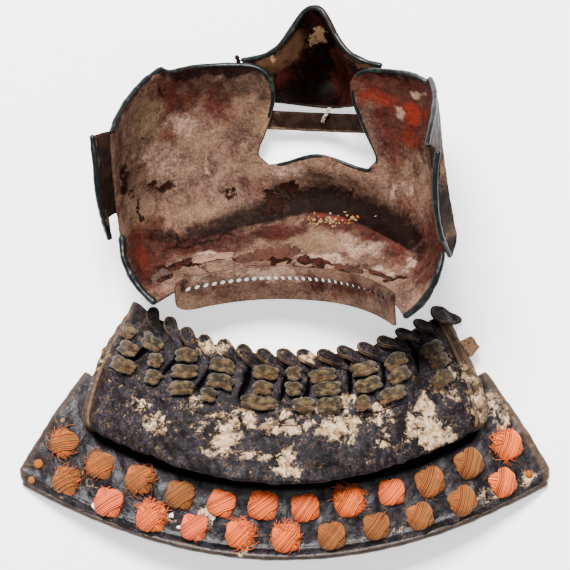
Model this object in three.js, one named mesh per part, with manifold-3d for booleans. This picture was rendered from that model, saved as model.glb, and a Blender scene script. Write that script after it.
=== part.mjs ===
// A samurai half mask (menpo) with its loose throat guard, lying on a flat surface.
//
// The mask lies face down on its nose and chin, turned a little, so its hollow side shows.
// Below it lie the two lames of the throat guard, one on the other, outer side up.
// Units are millimetres. +X is to the right, +Y towards the top of the mask, +Z up.
// The origin is on the surface, under the middle of the whole.

import * as THREE from 'three';
import { mergeVertices } from 'three/addons/utils/BufferGeometryUtils.js';
import Module from 'manifold-3d';

const wasm = await Module();
wasm.setup();

// ---- Driving dimensions --------------------------------------------------------------

// The mask in its own frame: x across the face, y up the face, z back towards the ears.
// Level 0 is the height of the mouth corners, and girth is measured round the face
// section from the middle plane.
const MASK = {
  wall: 2,
  halfWidth: 83.5,
  widthPerLevel: -0.08,
  depth: 79,
  front: -1.2,
  browSlope: 0.001,
  squareness: 2.6,
  squarenessPerLevel: 0.0086,
  mouthRim: 1,
  topRim: 1.4,
  lobeRim: 1.6,
};

const JAW = {
  girth: 118.6,
  cornerLevel: -0.6,
  lipRise: 6,
  mouthGirth: 28,
  chinDepth: 21,
  chinHalfWidth: 42,
  creaseLevel: -20,
  creaseDrop: 16,
  creaseGirth: 50,
  throatLevel: -42,
  throatDrop: 6.9,
  throatDropPower: 6,
  throatHalfWidth: 65,
  throatFront: 34,
  throatSweep: 37.4,
  throatPower: 2.3,
  cornerPower: 2.3,
  notchDepth: 4.2,
  notchShare: 0.45,
};

const NOSE = {
  wall: 1.8,
  topHalfWidth: 36,
  lowHalfWidth: 30,
  bridgeShare: 0.36,
  wingShare: 0.48,
  flankPower: 2.6,
  sideTop: { level: 55.2, back: 0.2 },
  sideLow: { level: 30, back: -4.6 },
};

const LIP_BAR = {
  halfWidth: 33, level: 22.8, sag: 3.1, back: -3.7, bow: 8.4, bowHalfWidth: 27,
  height: 8.5, wall: 1.6,
};

const FLANGE = {
  halfWidth: 58, top: -40.6, bottom: -57.6, wall: 1.8,
  holes: 30, firstHole: -53, lastHole: 51, holeLevel: -46.6, holeRadius: 1.4,
};

const WING = { wall: 1.8, rimRadius: 1.5 };

const PINS = { noseRadius: 0.9, cheekRadius: 1.1 };

// How the mask lies: turned about the face's upright, tipped up at the brow, then swung.
const POSE = { turn: 20, tip: 20, swing: 4, x: 16.5, y: 59 };

// The lames are strips of a fan about one centre, arched from side to side.
const FAN_CENTRE_Y = 97.5;
const ARCH_POWER = 2.2;
const UPPER_LAME = {
  wall: 3.2, topRadius: 131.5, bottomRadius: 194.2, topAngle: 35.8, bottomAngle: 31.6, spread: 0.9,
  crest: 36, topHeight: 3.4, bottomHeight: 19, bulge: 1.5, flare: 1.5,
  cornerAngle: 1.4, cornerShare: 0.1,
};
const LOWER_LAME = {
  wall: 3.2, topRadius: 175, bottomRadius: 233.4, topAngle: 35.5, bottomAngle: 34.8, spread: 0.3,
  crest: 30, topHeight: 4.2, bottomHeight: 3.4, bulge: 1.2, flare: 4, rimRadius: 2,
  cornerAngle: 2.4, cornerShare: 0.16,
};
const SCALES = { count: 17, headDepth: 2.5, headShare: 0.12, lift: 1.1, liftShare: 0.42 };
const END_TAB = { angle: 34.6, radius: 158, length: 6.4, width: 8.5, wall: 1.6, lift: 1.6 };
const LACING = {
  angles: [-31.4, -25.4, -18.8, -11.9, -4, 1.5, 7.6, 15.4, 20.9, 29.2],
  radius: 148.5, stubs: [-9, 0, 9],
  halfLength: 5.6, stubHalfWidth: 2.8, height: 3.6, strapHeight: 0.8,
};
const KNOTS = {
  pitch: 5.8, upperRadius: 208.5, lowerRadius: 223.5,
  arm: 7.4, armHalfWidth: 3.6, height: 4.6, topShare: 0.72,
};
const CLEARANCE = 0.3;

// ---- Materials -----------------------------------------------------------------------

const finish = (color, roughness, metalness = 0) =>
  new THREE.MeshStandardMaterial({ color, roughness, metalness });
const FINISH = {
  lacquer: finish(0x8a6a5c, 0.6),
  blackLacquer: finish(0x34333a, 0.5),
  brownLacquer: finish(0x3a2a22, 0.5),
  iron: finish(0x6a5c4c, 0.6, 0.6),
  leather: finish(0x8a6a48, 0.75),
  lacing: finish(0x5b5138, 0.85),
  silk: finish(0xd4744a, 0.85),
};

// ---- Solids --------------------------------------------------------------------------

const vec = (x, y, z) => new THREE.Vector3(x, y, z);
const lerp = THREE.MathUtils.lerp;
const rad = THREE.MathUtils.degToRad;
const span = (from, to, count) =>
  Array.from({ length: count + 1 }, (_, i) => lerp(from, to, i / count));

/** Points spread evenly along a smooth curve through the given ones. */
function smoothLine(points, count) {
  return new THREE.CatmullRomCurve3(points, false, 'centripetal').getSpacedPoints(count);
}

/** Drops all but position and joins shared corners, so that a closed mesh is one skin. */
function welded(geometry) {
  const bare = geometry.clone();
  bare.deleteAttribute('normal');
  bare.deleteAttribute('uv');
  return mergeVertices(bare, 1e-3);
}

/** Turns grids of points, each a list of rows, into one open sheet with shared corners. */
function sheetOf(grids) {
  const corners = [];
  for (const rows of grids) {
    for (let j = 0; j + 1 < rows.length; j += 1) {
      for (let i = 0; i + 1 < rows[j].length; i += 1) {
        const [a, b] = [rows[j][i], rows[j][i + 1]];
        const [c, d] = [rows[j + 1][i + 1], rows[j + 1][i]];
        corners.push(a, d, c, a, c, b);
      }
    }
  }
  const geometry = new THREE.BufferGeometry().setFromPoints(corners);
  return mergeVertices(geometry, 1e-3);
}

/**
 * Thickens a sheet into a closed wall. Rows run upwards and each row from left to right,
 * and the wall then grows away from the viewer who sees them so.
 */
function wallOf(grids, thickness) {
  const sheet = sheetOf(grids);
  sheet.computeVertexNormals();
  const place = sheet.getAttribute('position');
  const normal = sheet.getAttribute('normal');
  const count = place.count;
  const points = new Float32Array(count * 6);
  for (let i = 0; i < count; i += 1) {
    const inner = new THREE.Vector3().fromBufferAttribute(place, i);
    const away = new THREE.Vector3().fromBufferAttribute(normal, i);
    inner.toArray(points, i * 3);
    inner.addScaledVector(away, thickness).toArray(points, (count + i) * 3);
  }
  const sides = solidSides(sheet.getIndex().array, count);
  const solid = new THREE.BufferGeometry();
  solid.setAttribute('position', new THREE.BufferAttribute(points, 3));
  solid.setIndex(sides);
  return solid;
}

/** The triangles of a thickened sheet: outer skin, inner skin and the edge between them. */
function solidSides(sheet, count) {
  const triangles = [];
  const edges = new Map();
  for (let t = 0; t < sheet.length; t += 3) {
    const [a, b, c] = [sheet[t], sheet[t + 1], sheet[t + 2]];
    if (a === b || b === c || c === a) continue;
    triangles.push(a + count, b + count, c + count, c, b, a);
    for (const [from, to] of [[a, b], [b, c], [c, a]]) edges.set(`${from},${to}`, [from, to]);
  }
  for (const [from, to] of edges.values()) {
    if (edges.has(`${to},${from}`)) continue;
    triangles.push(from, to, to + count, from, to + count, from + count);
  }
  return triangles;
}

/** A round bead of few sides along a line of points. */
function beadAlong(points, radius, steps, sides = 5) {
  const section = new THREE.Shape();
  for (let i = 0; i < sides; i += 1) {
    const turn = (2 * Math.PI * i) / sides;
    const [x, y] = [radius * Math.cos(turn), radius * Math.sin(turn)];
    if (i === 0) section.moveTo(x, y);
    else section.lineTo(x, y);
  }
  section.closePath();
  const extrudePath = new THREE.CatmullRomCurve3(points, false, 'centripetal');
  return new THREE.ExtrudeGeometry(section, { steps, extrudePath });
}

/** A closed flat outline, extruded from z = 0 up to a height. */
function slab(points, height) {
  const outlineShape = new THREE.Shape(points.map(([x, y]) => new THREE.Vector2(x, y)));
  return new THREE.ExtrudeGeometry(outlineShape, { depth: height, bevelEnabled: false });
}

/** A manifold solid from a closed three.js mesh. */
function solidFrom(geometry) {
  const skin = welded(geometry);
  const vertProperties = new Float32Array(skin.getAttribute('position').array);
  const triVerts = new Uint32Array(skin.getIndex().array);
  return new wasm.Manifold(new wasm.Mesh({ numProp: 3, vertProperties, triVerts }));
}

/** A three.js mesh from a manifold solid. */
function geometryFrom(solid) {
  const { vertProperties, triVerts, numProp } = solid.getMesh();
  const geometry = new THREE.BufferGeometry();
  const buffer = new THREE.InterleavedBuffer(vertProperties, numProp);
  geometry.setAttribute('position', new THREE.InterleavedBufferAttribute(buffer, 3, 0));
  geometry.setIndex(new THREE.BufferAttribute(triVerts, 1));
  const plain = new THREE.BufferGeometry();
  const flat = geometry.toNonIndexed();
  plain.setAttribute('position', new THREE.BufferAttribute(flat.getAttribute('position').array, 3));
  return mergeVertices(plain, 1e-4);
}

/** One solid from several that touch or cross. */
function joined(...geometries) {
  return geometryFrom(geometries.map(solidFrom).reduce((whole, next) => whole.add(next)));
}

/** A solid with tools cut out of it. */
function cutBy(geometry, tools) {
  return geometryFrom(tools.map(solidFrom).reduce((left, tool) => left.subtract(tool), solidFrom(geometry)));
}

/** Names a solid as one sub-part and gives it a finish. */
function part(name, geometry, material) {
  geometry.computeVertexNormals();
  const mesh = new THREE.Mesh(geometry, material);
  mesh.name = name;
  return mesh;
}

// ---- The face section ----------------------------------------------------------------

/** Half width, front and squareness of the face's plan section at a level. */
function sectionAt(level) {
  return {
    halfWidth: MASK.halfWidth + MASK.widthPerLevel * level,
    front: MASK.front + MASK.browSlope * Math.max(level, 0) ** 2,
    squareness: MASK.squareness + MASK.squarenessPerLevel * level,
  };
}

/** A point of the section, a superellipse from the middle of the face round to the ear. */
function sectionPoint(turn, level) {
  const { halfWidth, front, squareness } = sectionAt(level);
  const across = halfWidth * Math.sin(turn) ** (2 / squareness);
  const back = front + MASK.depth * (1 - Math.cos(turn) ** (2 / squareness));
  return vec(across, level, back);
}

/** Girth from the middle plane against turn round the section, at a middling level. */
const GIRTHS = (() => {
  const turns = span(0, Math.PI / 2, 400);
  const points = turns.map((turn) => sectionPoint(turn, 20));
  let total = 0;
  return turns.map((turn, i) => {
    if (i > 0) total += points[i].distanceTo(points[i - 1]);
    return { turn, girth: total };
  });
})();

/** The inner face of the mask at a girth, left of the middle if negative, and a level. */
function facePoint(girth, level) {
  const distance = Math.min(Math.abs(girth), GIRTHS.at(-1).girth);
  const next = Math.max(1, GIRTHS.findIndex((entry) => entry.girth >= distance));
  const [low, high] = [GIRTHS[next - 1], GIRTHS[next]];
  const share = (distance - low.girth) / (high.girth - low.girth);
  const point = sectionPoint(lerp(low.turn, high.turn, share), level);
  point.x *= Math.sign(girth) || 0;
  return point;
}

// ---- Mask shell ----------------------------------------------------------------------

/** A bell: 1 in the middle, falling away with distance. */
const bell = (distance, width) => Math.exp(-((distance / width) ** 2));

/** The upper edge of the jaw at a girth: the lip in the middle, level on the cheeks. */
function lipLevel(girth) {
  if (Math.abs(girth) >= JAW.mouthGirth) return JAW.cornerLevel;
  return JAW.cornerLevel + JAW.lipRise * Math.cos((Math.PI * girth) / (2 * JAW.mouthGirth)) ** 2;
}

/** The jaw's rear edge, as girth, at a share of the way down. */
function jawRear(share) {
  const notch = JAW.notchDepth * Math.sin(Math.PI * Math.min(share / JAW.notchShare, 1));
  return JAW.girth - notch;
}

/** The line where the jaw's floor ends and the throat begins. */
function throatPoint(girth) {
  const share = girth / JAW.girth;
  const across = JAW.throatHalfWidth * share;
  const back = JAW.throatFront + JAW.throatSweep * Math.abs(share) ** JAW.throatPower;
  return vec(across, JAW.throatLevel - JAW.throatDrop * Math.abs(share) ** JAW.throatDropPower, back);
}

/** The jaw's inner face: down the wall from the lip, round the chin and back to the throat. */
function jawPoint(column, share) {
  const girth = column * (1 - (1 - jawRear(share) / JAW.girth) * Math.abs(column / JAW.girth) ** 4);
  const down = Math.sin((Math.PI / 2) * share) ** (2 / JAW.cornerPower);
  const inward = 1 - Math.cos((Math.PI / 2) * share) ** (2 / JAW.cornerPower);
  const crease = JAW.creaseLevel - JAW.creaseDrop * (1 - bell(girth, JAW.creaseGirth));
  const lip = lipLevel(girth);
  const wall = facePoint(girth, lerp(lip, crease, down));
  wall.z -= JAW.chinDepth * bell(wall.x, JAW.chinHalfWidth) * THREE.MathUtils.smoothstep(down, 0.15, 1);
  const throat = throatPoint(column);
  const level = wall.y + (throat.y - crease) * inward;
  return vec(lerp(wall.x, throat.x, inward), level, lerp(wall.z, throat.z, inward));
}

// The cheek's outline as girth and level: up the inner edge, over the top and down the rear.
const CHEEK_INNER = [[28, -0.6], [32.6, 5], [31.5, 10], [28.2, 16], [23.4, 26.5], [20, 36], [19.6, 45.5]];
const CHEEK_TOP = [[19.6, 45.5], [22.4, 50], [27, 52.6], [40, 53.9], [60, 54.6], [74, 54.6], [79, 57.4]];
const CHEEK_BACK = [[79, 57.4], [92, 54.4], [108, 48.9], [119, 43.9], [125.7, 39.2]];
const CHEEK_REAR = [[118.6, -0.6], [122.6, 14], [125.2, 28], [125.7, 39.2]];
const CHEEK_COLUMNS = 8;
const CHEEK_ROWS = 8;
const MOUTH_COLUMNS = 8;
const JAW_ROWS = 9;

/** A line of girths and levels, smooth between its points. */
function outline(points, count) {
  return smoothLine(points.map(([girth, level]) => vec(girth, level, 0)), count);
}

/** The cheek's top and back edge in one line, with the little peak between them. */
function cheekTopLine(count) {
  const front = Math.round(count * 0.55);
  return [...outline(CHEEK_TOP, front), ...outline(CHEEK_BACK, count - front).slice(1)];
}

/** A cheek above the mouth: its four edges filled in between, then wrapped on the face. */
function cheekRows(side) {
  const inner = outline(CHEEK_INNER, CHEEK_ROWS);
  const rear = outline(CHEEK_REAR, CHEEK_ROWS);
  const top = cheekTopLine(CHEEK_COLUMNS);
  const girths = span(JAW.mouthGirth, JAW.girth, CHEEK_COLUMNS);
  const bottom = girths.map((girth) => vec(girth, JAW.cornerLevel, 0));
  const rows = inner.map((start, j) => bottom.map((low, i) => {
    const [up, back] = [j / CHEEK_ROWS, i / CHEEK_COLUMNS];
    const across = start.clone().lerp(rear[j], back);
    const along = low.clone().lerp(top[i], up);
    const lowEdge = bottom[0].clone().lerp(bottom.at(-1), back);
    const highEdge = top[0].clone().lerp(top.at(-1), back);
    const flat = across.add(along).sub(lowEdge.lerp(highEdge, up));
    return facePoint(side * flat.x, flat.y);
  }));
  return side > 0 ? rows : rows.map((row) => row.reverse());
}

/** The jaw from rear to rear, in columns that meet the cheeks' columns. */
function jawRows() {
  const cheek = span(JAW.mouthGirth, JAW.girth, CHEEK_COLUMNS);
  const mouth = span(-JAW.mouthGirth, JAW.mouthGirth, MOUTH_COLUMNS);
  const left = cheek.slice(1).reverse().map((girth) => -girth);
  const columns = [...left, ...mouth, ...cheek.slice(1)];
  return span(1, 0, JAW_ROWS).map((share) => columns.map((girth) => jawPoint(girth, share)));
}

/** The thick rolled edge of a cheek, from the nose over the top and down the back. */
function cheekRim(side) {
  const edge = [...outline(CHEEK_TOP, 11), ...outline(CHEEK_BACK, 5).slice(1)];
  return edge.map((flat) => facePoint(side * flat.x, flat.y));
}

/** The fine rolled edge round the mouth, up one cheek, along the lip and up the other. */
function mouthRim() {
  const upCheek = (side) => outline(CHEEK_INNER, 7).map(({ x, y }) => facePoint(side * x, y));
  const lip = span(-JAW.mouthGirth, JAW.mouthGirth, 10).map((girth) => facePoint(girth, lipLevel(girth)));
  return [...upCheek(-1).reverse(), ...lip.slice(1, -1), ...upCheek(1)];
}

/** The rolled edge of a jaw lobe, from the notch under the wing down to the throat. */
function lobeRim(side) {
  return span(0.3, 1, 9).map((share) => jawPoint(side * JAW.girth, share));
}

/** Moves a line of the inner face half a wall outwards from the middle of the head. */
function midWall(points) {
  const head = vec(0, 10, MASK.depth * 0.6);
  return points.map((point) => {
    const away = point.clone().sub(head).setY(0).normalize();
    return point.clone().addScaledVector(away, MASK.wall / 2);
  });
}

function maskShell() {
  const shell = wallOf([jawRows(), cheekRows(-1), cheekRows(1)], MASK.wall);
  const bead = (line, radius) => beadAlong(midWall(line), radius, line.length);
  const rims = [-1, 1].flatMap((side) => [
    bead(cheekRim(side), MASK.topRim), bead(lobeRim(side), MASK.lobeRim)]);
  return part('mask_shell', joined(shell, bead(mouthRim(), MASK.mouthRim), ...rims), FINISH.lacquer);
}

// ---- Nose piece, lip bar and their pins ------------------------------------------------

// The ridge of the nose, from its top edge down to the tip and back under it, as level
// and depth in front of the face.
const NOSE_RIDGE = [
  [80.8, 9.5], [65.5, 18], [50, 26.5], [40, 31.5], [34.5, 32.4], [30, 29], [26.6, 21.5], [25, 14.5],
];

/** How far a place across the nose belongs to its ridge: 1 on it and 0 at the side. */
function ridgeShare(across, share) {
  const width = lerp(NOSE.bridgeShare, NOSE.wingShare, share);
  const hump = (x) => 1 / (1 + (x / width) ** NOSE.flankPower);
  return (hump(Math.abs(across)) - hump(1)) / (1 - hump(1));
}

/** The nose's inner face, across from side to side and down from its top edge. */
function nosePoint(across, share) {
  const ridge = new THREE.CatmullRomCurve3(NOSE_RIDGE.map(([level, out]) => vec(0, level, -out)));
  const middle = ridge.getPoint(share);
  const { sideTop, sideLow } = NOSE;
  const side = vec(0, lerp(sideTop.level, sideLow.level, share), lerp(sideTop.back, sideLow.back, share));
  const point = side.lerp(middle, ridgeShare(across, share));
  point.x = across * lerp(NOSE.topHalfWidth, NOSE.lowHalfWidth, share);
  return point;
}

function nosePiece() {
  const across = span(-1, 1, 12);
  const rows = span(1, 0, 8).map((share) => across.map((place) => nosePoint(place, share)));
  const rim = span(-1, 1, 20).map((place) => nosePoint(place, 0).add(vec(0, 0, -NOSE.wall / 2)));
  const bead = beadAlong(rim, MASK.topRim, 20);
  return part('nose_piece', joined(wallOf([rows], NOSE.wall), bead), FINISH.lacquer);
}

/** The middle of the lip bar at a distance across: bowed forward between the cheeks. */
function lipBarPoint(across) {
  const swing = Math.min(Math.abs(across) / LIP_BAR.bowHalfWidth, 1);
  const bow = Math.cos((Math.PI / 2) * swing) ** 2;
  return vec(across, LIP_BAR.level - LIP_BAR.sag * bow, LIP_BAR.back - LIP_BAR.bow * bow);
}

function lipBar() {
  const line = span(-LIP_BAR.halfWidth, LIP_BAR.halfWidth, 14).map(lipBarPoint);
  const raised = (up) => line.map((point) => point.clone().add(vec(0, up * LIP_BAR.height, 0)));
  const rows = [-0.5, 0, 0.5].map(raised);
  return part('lip_bar', wallOf([rows], LIP_BAR.wall), FINISH.lacquer);
}

/** A small twisted iron pin that ties the nose to the lip bar. */
function nosePin() {
  const line = [vec(6, 25.4, -10.2), vec(4.6, 23, -8.6), vec(2.6, 21, -10), vec(1.2, 18.4, -10.8)];
  return part('nose_pin', beadAlong(line, PINS.noseRadius, 8), FINISH.iron);
}

/** The end of the turning pin that shows over the left cheek. */
function cheekPin() {
  const line = [vec(-37.8, 55.4, 1.4), vec(-38.2, 57.4, 2), vec(-38.6, 59.2, 2.8)];
  return part('cheek_pin', beadAlong(line, PINS.cheekRadius, 4), FINISH.iron);
}

// ---- Wings ---------------------------------------------------------------------------

// One wing, from its top down: where its web leaves the shell, its rolled rim, and the
// front edge of its outer wall, each as width across and depth back.
const WING_LEVELS = [
  { level: 38, root: [81.2, 73.6], rim: [88.8, 77.6], front: [90.4, 76] },
  { level: 26, root: [82.4, 72.9], rim: [87.4, 79.8], front: [91, 74] },
  { level: 12, root: [83.6, 70.5], rim: [87.2, 80.6], front: [91.2, 69.8] },
  { level: -5.5, root: [84.8, 65.6], rim: [87.4, 75.6], front: [91.2, 64] },
];
const WING_FANG = [
  { level: -9, rim: [87.8, 73.4], front: [91.4, 62.6] },
  { level: -13.5, rim: [88.2, 70.4], front: [90.8, 64] },
  { level: -18.4, rim: [88.8, 67.6], front: [89.6, 66.4] },
];

/** A point at a level from a pair of width across and depth back. */
const atLevel = (side, level, [across, back]) => vec(side * across, level, back);

function wing(name, side) {
  const web = WING_LEVELS.map(({ level, root, rim }) => [
    atLevel(side, level, root), atLevel(side, level, rim)]);
  const wall = [...WING_LEVELS, ...WING_FANG].map(({ level, rim, front }) => [
    atLevel(side, level, rim), atLevel(side, level, front)]);
  const facing = (rows) => (side > 0 ? rows : rows.map((row) => [...row].reverse()));
  const sheet = wallOf([facing(web), facing(wall)], WING.wall);
  const bead = beadAlong(wall.map(([rim]) => rim.clone()), WING.rimRadius, 10);
  return part(name, joined(sheet, bead), FINISH.brownLacquer);
}

// ---- Throat flange -------------------------------------------------------------------

/** The flange's front face at a distance across, standing just behind the jaw's floor. */
function flangePoint(across, level) {
  const girth = (across / JAW.throatHalfWidth) * JAW.girth;
  const here = throatPoint(girth);
  const out = flangeFacing(across);
  return here.setY(level).addScaledVector(out, CLEARANCE);
}

/** The level direction that the flange faces at a distance across, towards the back. */
function flangeFacing(across) {
  const girth = (across / JAW.throatHalfWidth) * JAW.girth;
  const along = throatPoint(girth + 1).sub(throatPoint(girth - 1));
  return vec(-along.z, 0, along.x).normalize();
}

function throatFlange() {
  const levels = [FLANGE.top, FLANGE.bottom];
  const acrosses = span(-FLANGE.halfWidth, FLANGE.halfWidth, 16);
  const rows = levels.map((level) => acrosses.map((across) => flangePoint(across, level)));
  const holes = span(FLANGE.firstHole, FLANGE.lastHole, FLANGE.holes - 1).map((across) => {
    const here = flangePoint(across, FLANGE.holeLevel);
    const out = flangeFacing(across);
    const tool = new THREE.CylinderGeometry(FLANGE.holeRadius, FLANGE.holeRadius, 12, 6);
    tool.applyQuaternion(new THREE.Quaternion().setFromUnitVectors(vec(0, 1, 0), out));
    return tool.translate(here.x, here.y, here.z);
  });
  return part('throat_flange', cutBy(wallOf([rows], FLANGE.wall), holes), FINISH.lacquer);
}

// ---- Throat guard --------------------------------------------------------------------

/** The outer face of a lame, across from end to end (-1 to 1) and down (0 to 1). */
function lamePoint(lame, across, down) {
  const corner = Math.max(0, 1 - (1 - down) / lame.cornerShare);
  const halfAngle = lerp(lame.topAngle, lame.bottomAngle, down) + lame.spread * Math.sin(Math.PI * down)
    - lame.cornerAngle * (1 - Math.sqrt(Math.max(0, 1 - corner ** 2)));
  const angle = rad(across * halfAngle);
  const radius = lerp(lame.topRadius, lame.bottomRadius, down) + lame.flare * down * across ** 4;
  const arch = lame.crest * (1 - Math.abs(across) ** ARCH_POWER);
  const height = lerp(lame.topHeight, lame.bottomHeight, down) + lame.bulge * Math.sin(Math.PI * down);
  return vec(radius * Math.sin(angle), FAN_CENTRE_Y - radius * Math.cos(angle), arch + height);
}

/** A frame on a lame's outer face at an angle and radius: x along the lame and z outwards. */
function lameFrame(lame, angle, radius, lift) {
  const down = (radius - lame.topRadius) / (lame.bottomRadius - lame.topRadius);
  const across = angle / lerp(lame.topAngle, lame.bottomAngle, down);
  const here = lamePoint(lame, across, down);
  const along = lamePoint(lame, across + 0.02, down).sub(here).normalize();
  const inward = lamePoint(lame, across, down - 0.02).sub(here);
  const out = along.clone().cross(inward).normalize();
  const up = out.clone().cross(along);
  return new THREE.Matrix4().makeBasis(along, up, out).setPosition(here.addScaledVector(out, lift));
}

/** The upper lame's face with its row of scale heads: scalloped and lapped on each other. */
function scaledPoint(across, down) {
  const place = ((across + 1) / 2) * SCALES.count;
  const phase = place - Math.floor(place);
  const fade = Math.max(0, 1 - down / SCALES.liftShare);
  const point = lamePoint(UPPER_LAME, across, down);
  const dip = SCALES.headDepth * (2 * phase - 0.8) ** 2 * Math.max(0, 1 - down / SCALES.headShare);
  const angle = rad(across * UPPER_LAME.topAngle);
  point.x += dip * Math.sin(angle);
  point.y -= dip * Math.cos(angle);
  point.z += SCALES.lift * (1 - phase) * fade;
  return point;
}

function upperLame() {
  const heights = [1, 0.95, 0.7, 0.42, 0.2, 0.07, 0];
  const acrosses = span(-1, 1, SCALES.count * 3);
  const rows = heights.map((down) => acrosses.map((across) => scaledPoint(across, down)));
  return part('upper_lame', wallOf([rows], UPPER_LAME.wall), FINISH.blackLacquer);
}

function lowerLame() {
  const acrosses = span(-1, 1, 20);
  const heights = [1, 0.97, 0.9, 0.8, 0.5, 0.25, 0];
  const rows = heights.map((down) => acrosses.map((across) => lamePoint(LOWER_LAME, across, down)));
  const sink = vec(0, 0, -0.7 * LOWER_LAME.rimRadius);
  const rim = acrosses.map((across) => lamePoint(LOWER_LAME, across, 1).add(sink));
  const bead = beadAlong(rim, LOWER_LAME.rimRadius, 20);
  return part('lower_lame', joined(wallOf([rows], LOWER_LAME.wall), bead), FINISH.blackLacquer);
}

/** A short leather tab that sticks out at the upper lame's right end. */
function endTab() {
  const frame = lameFrame(UPPER_LAME, END_TAB.angle, END_TAB.radius, END_TAB.lift);
  const tab = new THREE.BoxGeometry(END_TAB.length, END_TAB.width, END_TAB.wall).applyMatrix4(frame);
  return part('end_tab', tab, FINISH.leather);
}

/** One column of lacing: three loaf-shaped stubs on a thin strap, extruded across it. */
function lacingColumn(name, angle) {
  const [base, top, half] = [LACING.strapHeight, LACING.height, LACING.stubHalfWidth];
  const crests = LACING.stubs.flatMap((up) => [
    [up - half, base], [up - 0.6 * half, top], [up + 0.6 * half, top], [up + half, base]]);
  const ends = [LACING.stubs[0] - half, LACING.stubs.at(-1) + half];
  const profile = [[ends[0], 0], ...crests, [ends[1], 0]].map(([up, out]) => [-out, up]);
  const column = slab(profile, 2 * LACING.halfLength);
  column.translate(0, 0, -LACING.halfLength).rotateY(Math.PI / 2);
  const frame = lameFrame(UPPER_LAME, angle, LACING.radius, CLEARANCE + SCALES.lift);
  return part(name, column.applyMatrix4(frame), FINISH.lacing);
}

/** The outline of a cross with four square-ended arms, turned to stand as an X. */
function crossOutline(arm, half) {
  return [0, 1, 2, 3].flatMap((quarter) => {
    const turn = Math.PI / 4 + (quarter * Math.PI) / 2;
    const [c, s] = [Math.cos(turn), Math.sin(turn)];
    const corner = (along, aside) => [along * c - aside * s, along * s + aside * c];
    return [corner(arm, -half), corner(arm, half), corner(half, half)];
  });
}

/** A silk cross knot: two thick stitches laid over each other, narrower towards the top. */
function silkKnot(name, angle, radius) {
  const knot = slab(crossOutline(KNOTS.arm, KNOTS.armHalfWidth), KNOTS.height);
  const corners = knot.getAttribute('position');
  for (let i = 0; i < corners.count; i += 1) {
    const share = corners.getZ(i) > KNOTS.height / 2 ? KNOTS.topShare : 1;
    corners.setXY(i, corners.getX(i) * share, corners.getY(i) * share);
  }
  return part(name, knot.applyMatrix4(lameFrame(LOWER_LAME, angle, radius, CLEARANCE)), FINISH.silk);
}

// ---- Assembly ------------------------------------------------------------------------

function mask() {
  const group = new THREE.Group();
  group.add(maskShell(), nosePiece(), lipBar(), nosePin(), cheekPin());
  group.add(wing('wing_left', -1), wing('wing_right', 1), throatFlange());
  group.rotation.set(rad(POSE.tip), rad(-POSE.turn), rad(POSE.swing), 'ZXY');
  group.position.set(POSE.x, POSE.y, 0);
  return group;
}

function throatGuard() {
  const group = new THREE.Group();
  group.add(upperLame(), lowerLame(), endTab());
  LACING.angles.forEach((angle, i) => group.add(lacingColumn(`lacing_column_${i + 1}`, angle)));
  for (let i = 0; i < 12; i += 1) {
    group.add(silkKnot(`upper_knot_${i + 1}`, (i - 5.5) * KNOTS.pitch, KNOTS.upperRadius));
  }
  for (let i = 0; i < 11; i += 1) {
    group.add(silkKnot(`lower_knot_${i + 1}`, (i - 5) * KNOTS.pitch, KNOTS.lowerRadius));
  }
  return group;
}

/** Lowers a group until its lowest point is on the surface. */
function settled(group) {
  group.position.z -= new THREE.Box3().setFromObject(group, true).min.z;
  return group;
}

/** Puts the origin under the middle of a group. */
function centred(group) {
  const middle = new THREE.Box3().setFromObject(group, true).getCenter(vec(0, 0, 0));
  group.position.sub(middle.setZ(0));
  return group;
}

const faceGuard = new THREE.Group();
faceGuard.add(settled(mask()), settled(throatGuard()));

export default centred(faceGuard);
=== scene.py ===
"""A samurai half mask and its loose throat guard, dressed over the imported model.

The mask lies face down on its nose and chin, so its worn, lacquered hollow shows. Below it lie the
two lames of the throat guard with what is left of their lacing and silk cross knots.

Shapes are worked out in millimetres, in the mask's or the guard's own frame, as whole numpy arrays:
a surface is a grid of points over two parameters, and a rim, strand or hair is a profile carried
along a path. They are placed in metres. In the mask's frame x runs across the face, y up the face
and z back towards the ears, level 0 is at the mouth corners, and girth is measured round the face
from its middle plane.
"""

import logging
import math
from dataclasses import astuple, dataclass, field
from enum import Enum

import bpy
import numpy as np
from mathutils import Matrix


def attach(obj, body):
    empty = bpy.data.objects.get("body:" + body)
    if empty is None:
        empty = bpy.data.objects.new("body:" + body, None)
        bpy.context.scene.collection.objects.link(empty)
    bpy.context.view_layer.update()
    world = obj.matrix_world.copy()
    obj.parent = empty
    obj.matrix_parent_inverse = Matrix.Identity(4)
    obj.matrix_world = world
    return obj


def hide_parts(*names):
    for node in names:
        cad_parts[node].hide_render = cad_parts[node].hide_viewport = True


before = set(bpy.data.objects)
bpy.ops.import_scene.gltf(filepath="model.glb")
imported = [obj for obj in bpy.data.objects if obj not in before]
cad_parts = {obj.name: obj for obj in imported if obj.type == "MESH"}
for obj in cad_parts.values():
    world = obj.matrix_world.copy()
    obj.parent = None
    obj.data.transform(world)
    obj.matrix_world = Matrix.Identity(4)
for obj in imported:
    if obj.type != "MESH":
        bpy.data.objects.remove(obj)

Array = np.ndarray
MM = 0.001
FLOOR_GAP = 0.02
log = logging.getLogger("face_guard")


# ---- Numbers ----


def lerp(start: Array | float, end: Array | float, share: Array | float) -> Array:
    """Returns the value at a share of the way from start to end."""
    return start + (end - start) * share


def smoothstep(value: Array, low: float, high: float) -> Array:
    """Returns 0 below low, 1 above high and the cubic 3t^2 - 2t^3 between them."""
    share = np.clip((value - low) / (high - low), 0, 1)
    return share * share * (3 - 2 * share)


def bell(distance: Array, width: float) -> Array:
    """Returns exp(-(distance / width)^2): 1 in the middle, falling away with distance."""
    return np.exp(-((distance / width) ** 2))


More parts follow.
